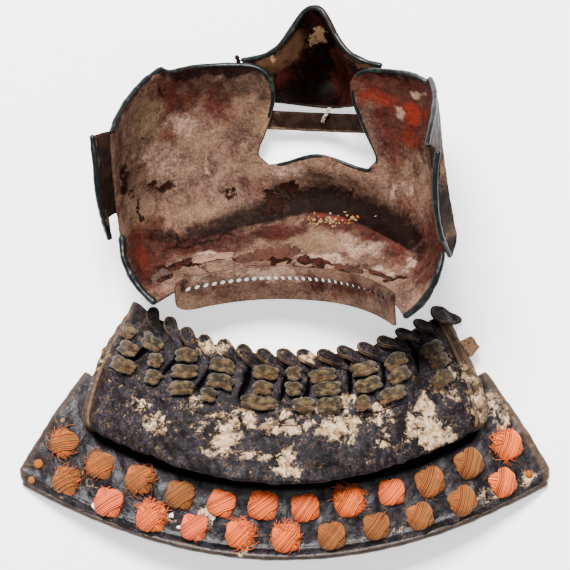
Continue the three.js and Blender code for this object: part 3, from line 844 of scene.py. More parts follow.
@dataclass(frozen=True)
class Silk:
    """Orange silk thread, spun and laid side by side, bright, with painted shade under and between threads.

    The value fade turns it to dull tan, and, on a knot in the upper lame's shadow, to a painted shadow's
    brown; blush turns it pink, strand gives each thread its own tone and low paints shade under each
    thread.
    """

    orange: str = "#ee6c22"
    pink: str = "#ec683a"
    faded_and_shaded: str = "#7e5228"
    shade: str = "#5a1e08"

    def material(self) -> bpy.types.Material:
        """Returns the finished material."""
        shader = Shader("orange_silk", self.orange)
        shader.coat(shader.attribute("blush"), self.pink)
        uneven = shader.math("MULTIPLY", shader.math("SUBTRACT", shader.noise(4, 4), 0.5), 0.8)
        fade = shader.math("ADD", shader.attribute("fade"), uneven)
        shader.stain(fade, 0.3, 0.8, self.faded_and_shaded)
        # Each thread's own tone; the cushion's full value stands for painted shade between threads.
        shader.stain(shader.attribute("strand"), 0, 1, self.shade, 0.45)
        # Painted shade on each thread's underside.
        shader.stain(shader.attribute("low"), 0.03, 0.22, self.shade, 0.85)
        shader.bump(shader.noise(0.5, 4, 0.6), 0.12, 0.6)
        return shader.finish(0.75, Sheen_Weight=0.05)


@dataclass(frozen=True)
class DryLeather:
    """Tanned brown leather, dry, dull and cracked at its edges."""

    brown: str = "#7a5e44"
    dark: str = "#3a2c22"

    def material(self) -> bpy.types.Material:
        """Returns the finished material."""
        shader = Shader("dry_leather", self.brown)
        fine = shader.noise(1.0, 7, 0.7)
        shader.stain(fine, 0.4, 0.62, self.dark)
        shader.bump(fine, 0.3, 0.8)
        return shader.finish(0.8)


@dataclass(frozen=True)
class TornCloth:
    """Woven hemp cloth soaked in lacquer, torn and red-brown. The value tone makes it dusty pink."""

    brown: str = "#34140c"
    dark: str = "#0c0504"
    pink: str = "#7a5a4a"

    def material(self) -> bpy.types.Material:
        """Returns the finished material."""
        shader = Shader("torn_lacquered_cloth", self.brown)
        fine = shader.noise(1.3, 9, 0.75)
        shader.stain(shader.noise(5, 8, 0.7), 0.42, 0.6, self.dark)
        shader.coat(shader.attribute("tone"), self.pink)
        shader.stain(fine, 0.54, 0.66, self.dark, 0.8)
        shader.bump(fine, 0.4, 0.9)
        return shader.finish(0.75)


@dataclass(frozen=True)
class Crumbs:
    """Crumbs of broken clay ground, yellowish and dusty. The value tone makes some orange."""

    pale: str = "#7a6042"
    orange: str = "#8a4c16"
    dark: str = "#33241a"

    def material(self) -> bpy.types.Material:
        """Returns the finished material."""
        shader = Shader("ground_crumbs", self.pale)
        fine = shader.noise(0.7, 5, 0.7)
        shader.coat(shader.attribute("tone"), self.orange)
        shader.stain(fine, 0.5, 0.7, self.dark, 0.7)
        shader.bump(fine, 0.3, 0.8)
        return shader.finish(0.85)


# ---- Pieces ----


class Slot(Enum):
    """Material slot names."""

    RED_LACQUER = "red_lacquer"
    BROWN_LACQUER = "brown_lacquer"
    BLACK_LACQUER = "black_lacquer"
    IRON = "iron"
    LEATHER = "leather"
    BRAID = "braid"
    SILK = "silk"


def add_piece(name: str, surface: Surface, place: Place, material: bpy.types.Material, slot: Slot,
              *stands_for: str) -> None:
    """Makes a mesh object, lets it ride on the body and hides the solids that it stands for.

    Args:
        name: The object's name.
        surface: Its shape in its group's frame, in millimetres. What is under the floor is raised.
        place: Where the group lies.
        material: Its material.
        slot: A material slot's name; not used.
        stands_for: The solids that it replaces.
    """
    points = place.carry(surface.points)
    points[:, 2] = np.maximum(points[:, 2], FLOOR_GAP)
    corners = np.where(surface.faces[:, 3] >= 0, 4, 3)
    starts = np.concatenate([[0], np.cumsum(corners)[:-1]])
    loops = surface.faces[surface.faces >= 0]
    mesh = bpy.data.meshes.new(name)
    mesh.vertices.add(len(points))
    mesh.vertices.foreach_set("co", (points * MM).astype(np.float32).ravel())
    mesh.loops.add(len(loops))
    mesh.loops.foreach_set("vertex_index", loops.astype(np.int32))
    mesh.polygons.add(len(corners))
    mesh.polygons.foreach_set("loop_start", starts.astype(np.int32))
    mesh.polygons.foreach_set("use_smooth", np.ones(len(corners), bool))
    mesh.update(calc_edges=True)
    for value_name, value in surface.values.items():
        attribute = mesh.attributes.new(value_name, "FLOAT", "POINT")
        attribute.data.foreach_set("value", value.astype(np.float32))
    mesh.materials.append(material)
    piece = bpy.data.objects.new(name, mesh)
    bpy.context.scene.collection.objects.link(piece)
    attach(piece, "root")
    if stands_for:
        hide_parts(*stands_for)
    log.info("%s: %d faces", name, len(corners))


# ---- The mask ----


@dataclass
class FaceSection:
    """The face's plan section, a superellipse that changes a little with level."""

    half_width: float = 83.5
    width_per_level: float = -0.08
    depth: float = 79.0
    front: float = -1.2
    brow_slope: float = 0.001
    squareness: float = 2.6
    squareness_per_level: float = 0.0086
    middling_level: float = 20.0

    def point(self, turn: Array, level: Array) -> Array:
        """A point of the section.

        Across is halfWidth sin(turn)^(2/p) and back is front + depth (1 - cos(turn)^(2/p)), where
        halfWidth, front and p are steady functions of the level.

        Args:
            turn: From 0 in the middle of the face to a quarter turn at the ear.
            level: Height up the face.

        Returns:
            Points with their coordinates in the last axis.
        """
        power = 2 / (self.squareness + self.squareness_per_level * level)
        across = (self.half_width + self.width_per_level * level) * np.sin(turn) ** power
        front = self.front + self.brow_slope * np.maximum(level, 0) ** 2
        back = front + self.depth * (1 - np.maximum(np.cos(turn), 0) ** power)
        return columns(across, level, back)

    def wrapped(self, girth: Array, level: Array) -> Array:
        """Points of the inner face.

        The girth is turned into the section's turn along the arc length at a middling level.

        Args:
            girth: Distance round the face, negative left of the middle.
            level: Height up the face.

        Returns:
            Points with their coordinates in the last axis.
        """
        turns = np.linspace(0, np.pi / 2, 401)
        line = self.point(turns, np.full(401, self.middling_level))
        run = np.concatenate([[0], np.cumsum(np.linalg.norm(np.diff(line, axis=0), axis=1))])
        point = self.point(np.interp(np.abs(girth), run, turns), level)
        point[..., 0] *= np.sign(girth)
        return point


@dataclass
class MaskShell:
    """The iron shell: jaw, chin and cheeks in one wall, with rolled edges.

    The jaw goes down its wall from the lip, round the chin's crease and back to the throat. Each
    cheek is a patch filled in between four edges, given by girth and level, and wrapped on the face.
    """

    face: FaceSection = field(default_factory=FaceSection)
    wall: float = 2.0
    girth: float = 118.6
    corner_level: float = -0.6
    lip_rise: float = 6.0
    mouth_girth: float = 28.0
    chin_depth: float = 21.0
    chin_half_width: float = 42.0
    crease_level: float = -20.0
    crease_drop: float = 16.0
    crease_girth: float = 50.0
    throat_level: float = -42.0
    throat_drop: float = 6.9
    throat_drop_power: float = 6.0
    throat_half_width: float = 65.0
    throat_front: float = 34.0
    throat_sweep: float = 37.4
    throat_power: float = 2.3
    corner_power: float = 2.3
    notch_depth: float = 4.2
    notch_share: float = 0.45
    mouth_rim: float = 1.0
    top_rim: float = 1.4
    lobe_rim: float = 1.8
    hollow_shade_middle: float = 12.0
    cheek_columns: int = 72
    mouth_columns: int = 44
    cheek_rows: int = 60
    jaw_rows: int = 92

    INNER = ((28, -0.6), (32.6, 5), (31.5, 10), (28.2, 16), (23.4, 26.5), (20, 36), (19.6, 45.5))
    TOP = ((19.6, 45.5), (22.4, 50), (27, 52.6), (40, 53.9), (60, 54.6), (74, 54.6), (79, 57.4))
    BACK = ((79, 57.4), (92, 54.4), (108, 48.9), (119, 43.9), (125.7, 39.2))
    REAR = ((118.6, -0.6), (122.6, 14), (125.2, 28), (125.7, 39.2))

    RED = patches(
        (-54, 95, 13, 12, 0, 0.85), (-33, 90, 9, 11, -20, 0.8), (-59, 78, 5, 13, 10, 0.6),
        (54, 97, 26, 13, -10, 0.95), (60, 82, 16, 20, 10, 1.0), (55, 69, 9, 11, 10, 0.85),
        (-46, 20, 34, 7, 8, 0.88), (-6, 26, 20, 5, 8, 0.85), (26, 31, 17, 6, -8, 0.95),
        (48, 22, 18, 8, -32, 0.9), (-70, 13, 11, 20, -10, 0.95), (73, 18, 9, 18, 0, 0.85),
        (-66, 0, 8, 8, 0, 0.6), (68, 8, 9, 10, -20, 0.65), (26, 44, 9, 5, -10, 0.6),
        (-20, 52, 5, 3, 20, 0.45), (62, 38, 5, 9, 0, 0.5), (55, 14, 12, 4, -20, 0.65),
    )
    BRIGHT = patches(
        (63, 84, 6, 6, 0, 0.85), (46, 92, 12, 5, -10, 0.5), (62, 72, 5, 6, 0, 0.5),
        (-71, 10, 4, 8, 0, 0.45), (27, 33, 8, 2.4, 0, 0.6),
    )
    OCHRE = patches(
        (-69, 83, 8, 10, 0, 0.8), (-46, 74, 7, 5, 0, 0.7), (-40, 35, 10, 5, 0, 0.8),
        (-70, 34, 5, 7, 0, 0.75), (12, 21, 18, 5, 0, 0.75), (-20, 61, 6, 6, 0, 0.6),
        (57, 22, 2.5, 8, 0, 0.6), (-24, 96, 6, 6, 0, 0.5), (-12, 79, 3, 12, 0, 0.6),
        (40, 60, 3, 12, 10, 0.5),
    )
    PALE = patches(
        (-52, 80, 7, 6, 0, 0.5), (-39, 59, 1.6, 5, 0, 0.6), (38, 18, 12, 4, -6, 0.6),
        (-35, 13.4, 9, 1.5, 2, 0.95), (64.4, 95, 3.4, 1.2, -20, 0.75), (56.5, 82.5, 1.2, 4.2, 28, 0.8),
        (54.4, 45, 1.2, 4.6, 0, 0.8), (62.5, 47, 1.8, 4.5, -15, 0.6), (-60, 60, 12, 9, 0, 0.42),
        (20, 12.6, 14, 1.4, -3, 0.7), (62, 9, 4, 1.4, 25, 0.8), (48, 6.5, 6, 1.6, -22, 0.6),
        (0, 58, 10, 5, 0, 0.4),
    )
    # Dark marks and spots, and painted shade along the chin's crease and under both cheeks' top rims.
    DARK = patches(
        (17, 43, 24, 7, -4, 0.95), (-8, 36.5, 20, 7, 9, 0.85), (-38, 26.5, 22, 4, 9, 0.8),
        (-57, 23.5, 12, 4, 5, 0.75), (42, 33, 8, 5, -38, 0.75), (-27, 103, 20, 5, 0, 0.5),
        (-14, 96, 3, 8, 8, 0.45), (-62, 48, 6, 2, 25, 0.75), (-71, 72, 1, 0.9, 0, 0.9),
        (-57.5, 59, 1, 0.8, 0, 0.8), (-63, 94.8, 1.2, 1.6, 0, 0.9), (-78, 72, 4, 18, -8, 0.4),
        (70, 60, 2.4, 22, 14, 0.45), (73, 108, 9, 2, -10, 0.6), (-75, 9, 3, 12, 12, 0.5),
        (-30, 107, 40, 5, 2, 0.95), (-10, 100, 7, 14, 0, 0.6), (55, 104, 22, 3.5, -8, 0.7),
        (-76, 92, 4, 12, -25, 0.4), (-16, 68, 3, 10, -20, 0.4), (6, 54, 9, 4, 0, 0.4),
        (38, 44, 4, 3, 0, 0.5), (-40, 20.5, 26, 1.4, 9, 0.8), (50, 18, 12, 2, -40, 0.4),
    )
    RUST = patches(
        (-7.5, 46, 3.4, 2.2, -10, 0.9), (2, 48, 3.4, 2.6, 30, 0.95), (-4.4, 40.5, 5, 5, 0, 0.85),
        (-11, 12, 16, 1.9, -2, 0.95), (-50, 9, 11, 2.2, -6, 0.75), (22, 8.6, 20, 2.2, -3, 0.62),
        (-62, 48.5, 6, 2, 22, 0.72), (-79.5, 50, 2.2, 9, 12, 0.7), (-60, 7.8, 6, 1.2, 0, 1.0),
        (-73, 38, 1.6, 8, 25, 0.5), (54, 3, 6, 1.2, 18, 0.8), (-28, 46, 5, 3, 0, 0.5),
    )
    GREY = patches((-61, 4.2, 6, 4.2, 6, 0.95))
    # Broad darkening: painted shade under both cheeks' top rims, and a darker chin floor below the crease,
    # lobes and left cheek side.
    DIM = patches(
        (-34, 21, 34, 7, 8, 0.5), (2, 27, 16, 4, 5, 0.35), (42, 23, 13, 6, -25, 0.2),
        (-30, 101, 36, 8, 0, 0.72), (-72, 8, 9, 15, 0, 0.42), (72, 12, 8, 14, -20, 0.3),
        (54, 102, 22, 6, -8, 0.45), (-74, 60, 7, 34, 0, 0.3),
    )

    def lip(self, girth: Array) -> Array:
        """Returns the jaw's upper edge: a squared cosine above the corners in the mouth."""
        inside = np.minimum(np.abs(girth) / self.mouth_girth, 1)
        return self.corner_level + self.lip_rise * np.cos(np.pi / 2 * inside) ** 2

    def throat(self, girth: Array) -> Array:
        """The line where the jaw's floor ends: x steady, z sweeping back by a power.

        Args:
            girth: Places along it.

        Returns:
            Points with their coordinates in the last axis.
        """
        share = girth / self.girth
        level = self.throat_level - self.throat_drop * np.abs(share) ** self.throat_drop_power
        back = self.throat_front + self.throat_sweep * np.abs(share) ** self.throat_power
        return columns(self.throat_half_width * share, level, back)

    def jaw(self, column: Array, share: Array) -> Array:
        """The jaw's inner face.

        The way down and the way in follow a superellipse's quarter, sin^(2/p) and 1 - cos^(2/p) of
        the share, from the face's section, pushed forward in a bell at the chin, to the throat.

        Args:
            column: Girth of each column where the jaw is widest.
            share: From 0 at the lip to 1 at the throat.

        Returns:
            Points with their coordinates in the last axis.
        """
        notch = self.notch_depth * np.sin(np.pi * np.minimum(share / self.notch_share, 1))
        girth = column * (1 - notch / self.girth * np.abs(column / self.girth) ** 4)
        power = 2 / self.corner_power
        down = np.sin(np.pi / 2 * share) ** power
        inward = 1 - np.maximum(np.cos(np.pi / 2 * share), 0) ** power
        crease = self.crease_level - self.crease_drop * (1 - bell(girth, self.crease_girth))
        wall = self.face.wrapped(girth, lerp(self.lip(girth), crease, down))
        chin = bell(wall[..., 0], self.chin_half_width) * smoothstep(down, 0.15, 1)
        throat = self.throat(column)
        return columns(lerp(wall[..., 0], throat[..., 0], inward),
                       wall[..., 1] + (throat[..., 1] - crease) * inward,
                       lerp(wall[..., 2] - self.chin_depth * chin, throat[..., 2], inward))

    def cheek(self, side: int) -> Array:
        """A cheek as a Coons patch: the two ruled surfaces between facing edges, less the bilinear
        one through the corners, in girth and level, then wrapped on the face.

        Args:
            side: 1 for the right cheek and -1 for the left.

        Returns:
            Points by row, upwards, and column, to the right.
        """
        front = round(self.cheek_columns * 0.55)
        top = np.concatenate([spaced(self.TOP, front), spaced(self.BACK, self.cheek_columns - front)[1:]])
        low = columns(np.linspace(self.mouth_girth, self.girth, self.cheek_columns + 1), self.corner_level)
        inner, rear = spaced(self.INNER, self.cheek_rows), spaced(self.REAR, self.cheek_rows)
        up = np.linspace(0, 1, self.cheek_rows + 1)[:, None, None]
        back = np.linspace(0, 1, self.cheek_columns + 1)[None, :, None]
        ruled = lerp(inner[:, None], rear[:, None], back) + lerp(low[None], top[None], up)
        flat = ruled - lerp(lerp(low[0], low[-1], back), lerp(top[0], top[-1], back), up)
        flat = flat if side > 0 else flat[:, ::-1]
        return self.face.wrapped(side * flat[..., 0], flat[..., 1])

    def inner_face(self) -> Surface:
        """Returns the whole inner face, a little uneven, in the mask's frame."""
        cheek = np.linspace(self.mouth_girth, self.girth, self.cheek_columns + 1)
        mouth = np.linspace(-self.mouth_girth, self.mouth_girth, self.mouth_columns + 1)
        column = np.concatenate([-cheek[:0:-1], mouth, cheek[1:]])
        share = np.linspace(1, 0, self.jaw_rows + 1)
        jaw = Surface.of_grid(self.jaw(column[None, :], share[:, None]))
        # Painted shade down the chin's wall to its crease.
        jaw.values["smoke"] = self.smoke(column[None, :], share[:, None]).ravel()
        face = Surface.joined(jaw, *[Surface.of_grid(self.cheek(side)) for side in (-1, 1)]).welded()
        face.dent((0.35, 26, 3), (0.14, 7, 4))
        return face

    def mid_wall(self, points: Array) -> Array:
        """Moves points half a wall away from the middle of the head.

        Args:
            points: Points of the inner face.

        Returns:
            The points in the middle of the wall.
        """
        head = np.array([0, 10, self.face.depth * 0.6])
        away = (points - head) * np.array([1, 0, 1])
        return points + unit(away) * self.wall / 2

    def smoke(self, column: Array, share: Array) -> Array:
        """How much painted shade darkens the chin's hollow.

        It darkens down the wall, sooner in the middle, and ends sharply at the crease.

        Args:
            column: Girth of each column where the jaw is widest.
            share: From 0 at the lip to 1 at the throat.

        Returns:
            A share from 0 to 1.
        """
        aside = smoothstep(np.abs(column - self.hollow_shade_middle), 22, 80)
        down = smoothstep(share, 0.12 + 0.22 * aside, 0.46 + 0.06 * aside)
        reach = 1 - smoothstep(np.abs(column - self.hollow_shade_middle + 12), 60, 96)
        milder = lerp(0.86, 1, smoothstep(column, -40, 10))
        return down * (1 - smoothstep(share, 0.585, 0.625)) * reach * milder

    def rim(self, line: Array, radius: float, seed: int) -> Surface:
        """A rolled edge.

        Args:
            line: Points of the inner face that it follows.
            radius: Its radius, which is then made a little uneven.
            seed: Picks its unevenness.

        Returns:
            The edge as a tube.
        """
        path = self.mid_wall(line)[None]
        away = path - np.array([0, 10, self.face.depth * 0.6])
        return tubes(path, uneven(radius, path, (0.10, 9, seed), (0.05, 3, seed + 1)), away, 12)

    def rims(self) -> Surface:
        """Returns all rolled edges: over the cheeks, down the lobes and round the mouth."""
        parts = []
        for side in (-1, 1):
            top = np.concatenate([spaced(self.TOP, 60), spaced(self.BACK, 50)[1:]])
            parts.append(self.rim(self.face.wrapped(side * top[:, 0], top[:, 1]), self.top_rim, 10 + side))
            lobe = self.jaw(np.full(80, side * self.girth), np.linspace(0.3, 1, 80))
            parts.append(self.rim(lobe, self.lobe_rim, 20 + side))
        cheek = spaced(self.INNER, 50)
        across = np.linspace(-self.mouth_girth, self.mouth_girth, 50)[1:-1]
        girth = np.concatenate([-cheek[::-1, 0], across, cheek[:, 0]])
        level = np.concatenate([cheek[::-1, 1], self.lip(across), cheek[:, 1]])
        parts.append(self.rim(self.face.wrapped(girth, level), self.mouth_rim, 30))
        return Surface.joined(*parts)

    def build(self) -> None:
        """Builds the shell and its rolled edges and adds them."""
        face = self.inner_face()
        smoke = face.values.pop("smoke")
        face.paint(MASK_PLACE, red=self.RED, bright=self.BRIGHT, ochre=self.OCHRE, pale=self.PALE,
                   dark=self.DARK, rust=self.RUST, grey=self.GREY, dim=self.DIM)
        # The dark cover also takes the chin's painted shade.
        face.values["dark"] = np.maximum(face.values["dark"], smoke)
        shell = face.thickened(self.wall)
        add_piece("shell_lacquered", shell, MASK_PLACE, INSIDE, Slot.RED_LACQUER, "mask_shell")
        add_piece("shell_rolled_edges", self.rims(), MASK_PLACE, RIM, Slot.BLACK_LACQUER)


@dataclass
class Nose:
    """The hollow nose above the mouth, with its thick upper edge, lip bar and pins."""

    wall: float = 1.8
    top_half_width: float = 36.0
    low_half_width: float = 30.0
    bridge_share: float = 0.36
    wing_share: float = 0.48
    flank_power: float = 2.6
    side_top: tuple[float, float] = (55.2, 0.2)
    side_low: tuple[float, float] = (30.0, -4.6)
    lower_end: float = 0.88
    rim: float = 1.4
    bar_half_width: float = 33.0
    bar_level: float = 22.8
    bar_sag: float = 3.1
    bar_back: float = -3.7
    bar_bow: float = 8.4
    bar_bow_half_width: float = 27.0
    bar_height: float = 8.5
    bar_wall: float = 1.6
    pin_twists: float = 2.5
    strand_radius: float = 0.55
    cheek_pin_radius: float = 1.1

    RIDGE = ((80.8, 9.5), (65.5, 18), (50, 26.5), (40, 31.5), (34.5, 32.4), (30, 29), (26.6, 21.5),
             (25, 14.5))
    BROWN = patches(
        (3, 117, 6, 9, -30, 0.85), (-5, 112, 6, 5, 0, 0.8), (30, 115, 5, 7, 30, 0.6),
        (-12, 110, 5, 4, 0, 0.7), (39, 109, 6, 3, -30, 0.8),
    )
    RED = patches(
        (27, 105, 4, 12, 8, 0.9), (31, 97, 4, 9, 8, 0.8), (0, 104, 6, 6, 0, 0.6), (20, 132, 4, 5, 0, 0.5),
    )
    # Painted shade at the bottom of the nose's hollow.
    DIM = patches((13, 96, 17, 9, 0, 0.95), (16, 108, 7, 12, 0, 0.8))
    PALE = patches((17.6, 124, 3.0, 5, -5, 0.75), (13, 121, 2.4, 3, 0, 0.6), (-5, 115, 1.6, 5, 0, 0.6))

    NOSE_PIN = ((4.4, 28.0, -11.0), (3.2, 25.4, -9.4), (1.6, 23.2, -10.2), (0.2, 20.6, -11.2))
    CHEEK_PIN = ((-37.8, 54.8, 1.3), (-38.0, 56.2, 1.7), (-38.2, 57.6, 2.2))

    def point(self, across: Array, share: Array) -> Array:
        """The nose's inner face.

        Each level is drawn from its side line towards the ridge by a hump 1 / (1 + (x / w)^p),
        shifted to reach 0 at the sides.

        Args:
            across: From -1 at the left side to 1 at the right.
            share: From 0 at the top edge to 1 under the tip.

        Returns:
            Points with their coordinates in the last axis.
        """
        share = np.broadcast_to(share, np.broadcast_shapes(np.shape(across), np.shape(share)))
        ridge = catmull(self.RIDGE, share.ravel()).reshape(share.shape + (2,))
        width = lerp(self.bridge_share, self.wing_share, share)
        hump = 1 / (1 + (np.abs(across) / width) ** self.flank_power)
        least = 1 / (1 + (1 / width) ** self.flank_power)
        pull = (hump - least) / (1 - least)
        level = lerp(lerp(self.side_top[0], self.side_low[0], share), ridge[..., 0], pull)
        back = lerp(lerp(self.side_top[1], self.side_low[1], share), -ridge[..., 1], pull)
        return columns(across * lerp(self.top_half_width, self.low_half_width, share), level, back)

    def bar_point(self, across: Array) -> Array:
        """Returns the middle of the lip bar: bowed forward by a squared cosine."""
        bow = np.cos(np.pi / 2 * np.minimum(np.abs(across) / self.bar_bow_half_width, 1)) ** 2
        return columns(across, self.bar_level - self.bar_sag * bow, self.bar_back - self.bar_bow * bow)

    def add_nose(self) -> None:
        """Builds the nose and its upper edge."""
        across, share = np.linspace(-1, 1, 121), np.linspace(self.lower_end, 0, 81)
        skin = Surface.of_grid(self.point(across[None, :], share[:, None]))
        skin.dent((0.2, 12, 41))
        skin.paint(MASK_PLACE, ochre=self.BROWN, red=self.RED, pale=self.PALE, dim=self.DIM)
        add_piece("nose_lacquered", skin.thickened(self.wall), MASK_PLACE, NoseLacquer().material(),
                  Slot.RED_LACQUER, "nose_piece")
        path = (self.point(np.linspace(-1, 1, 160), np.zeros(160)) - np.array([0, 0, self.wall / 2]))[None]
        edge = tubes(path, uneven(self.rim, path, (0.1, 8, 42)), (0, 0.3, 1.0), 12)
        add_piece("nose_upper_edge", edge, MASK_PLACE, RIM, Slot.BLACK_LACQUER)

    def add_bar(self) -> None:
        """Builds the lip bar, a thin bowed strip with a fine edge below."""
        across, up = np.linspace(-self.bar_half_width, self.bar_half_width, 150), np.linspace(-0.5, 0.5, 16)
        grid = self.bar_point(across)[None] + up[:, None, None] * np.array([0, self.bar_height, 0])
        strip = Surface.of_grid(grid)
        strip.dent((0.15, 9, 43))
        seen = MASK_PLACE.carry(strip.points)
        low = np.repeat(np.linspace(1, 0, 16), 150)
        strip.values = {"worn": 0.1 + 0.4 * smoothstep(low, 0.8, 1) + 0.3 * bell(seen[:, 0] + 8, 7)}
        bar = strip.thickened(self.bar_wall)
        add_piece("lip_bar_strip", bar, MASK_PLACE, BROWN, Slot.RED_LACQUER, "lip_bar")

    def add_pins(self) -> None:
        """Builds the twisted pin between nose and bar, and the pin's end over the left cheek."""
        line = spaced(self.NOSE_PIN, 40)[None]
        turn = np.linspace(0, 2 * np.pi * self.pin_twists, 41)
        wind = columns(np.cos(turn), np.sin(turn) * 0.5, np.sin(turn))[None] * 0.5
        strands = np.concatenate([line + wind, line - wind])
        pin = tubes(strands, self.strand_radius, (0.1, 0.2, 1.0), 8)
        add_piece("nose_pin_twisted", pin, MASK_PLACE, IRON, Slot.IRON, "nose_pin")
        knob = spaced(self.CHEEK_PIN, 12)[None]
        waist = self.cheek_pin_radius * (1 + 0.2 * np.sin(np.linspace(0, 3 * np.pi, 13)))
        end = tubes(knob, waist[None], (1.0, 0, 0), 12)
        add_piece("cheek_pin_end", end, MASK_PLACE, BROWN, Slot.IRON, "cheek_pin")

    def build(self) -> None:
        """Builds nose, bar and pins."""
        self.add_nose()
        self.add_bar()
        self.add_pins()


@dataclass
class Wings:
    """The folded wings at the mask's rear edges: a web from the shell to a rolled rim, and an outer
    wall from the rim forwards, ending below in a fang. Widths and depths are given by level.
    """

    wall: float = 1.8
    rim: float = 1.6
    rim_taper: float = 0.45
    steps: int = 80

    LEVELS = (38, 26, 12, -5.5, -9, -13.5, -18.4)
    ROOT = ((80.9, 68.4), (82.0, 67.6), (83.3, 65.2), (84.4, 61.4))
    RIM = ((88.8, 77.6), (87.4, 79.8), (87.2, 80.6), (87.4, 75.6), (87.8, 73.4), (88.2, 70.4), (88.8, 67.6))
    FRONT = ((90.4, 76), (91, 74), (91.2, 69.8), (91.2, 64), (91.4, 62.6), (90.8, 64), (89.6, 66.4))

    def line(self, side: int, places: tuple, at: Array) -> Array:
        """A smooth line down the wing.

        Args:
            side: 1 for the right wing and -1 for the left.
            places: Its width and depth at each level, from the top.
            at: Places along it from 0 to 1.

        Returns:
            One point a row.
        """
        levels = np.array(self.LEVELS[:len(places)])
        table = np.array(places, float)
        return catmull(columns(side * table[:, 0], levels, table[:, 1]), at)

    def skin(self, side: int) -> Surface:
        """A wing's web and outer wall as one open surface.

        Args:
            side: 1 for the right wing and -1 for the left.

        Returns:
            The surface, facing the back.
        """
        at = np.linspace(0, 1, 2 * self.steps + 1)
        rim = self.line(side, self.RIM, at)
        front = self.line(side, self.FRONT, at)
        root = self.line(side, self.ROOT, np.linspace(0, 1, self.steps + 1))
        over = np.linspace(0, 1, 13)[None, :, None]
        web = lerp(root[:, None], rim[:self.steps + 1, None], over)
        outer = lerp(rim[:, None], front[:, None], over)
        grids = [grid[::-1] if side > 0 else grid[::-1, ::-1] for grid in (web, outer)]
        parts = [Surface.of_grid(grid) for grid in grids]
        share = np.linspace(1, 0, 2 * self.steps + 1)[:, None] + 0 * over[..., 0]
        parts[0].values["worn"] = np.full(len(parts[0].points), 0.1)
        parts[1].values["worn"] = (0.5 - 0.2 * share + 0.2 * np.sin(14 * share)).ravel()
        return Surface.joined(*parts).welded()

    def build(self) -> None:
        """Builds both wings and their rolled rims."""
        for name, side in (("wing_left", -1), ("wing_right", 1)):
            skin = self.skin(side)
            skin.dent((0.2, 9, 50 + side))
            wing = skin.thickened(self.wall)
            add_piece(f"{name}_folded", wing, MASK_PLACE, BROWN, Slot.BROWN_LACQUER, name)
            path = self.line(side, self.RIM, np.linspace(0, 1, 120))[None]
            taper = self.rim * (1 - self.rim_taper * np.linspace(0, 1, 120) ** 3)
            edge = tubes(path, uneven(taper, path, (0.08, 7, 60 + side)), (side, 0, 0.3), 12)
            add_piece(f"{name}_rolled_rim", edge, MASK_PLACE, RIM, Slot.BLACK_LACQUER)


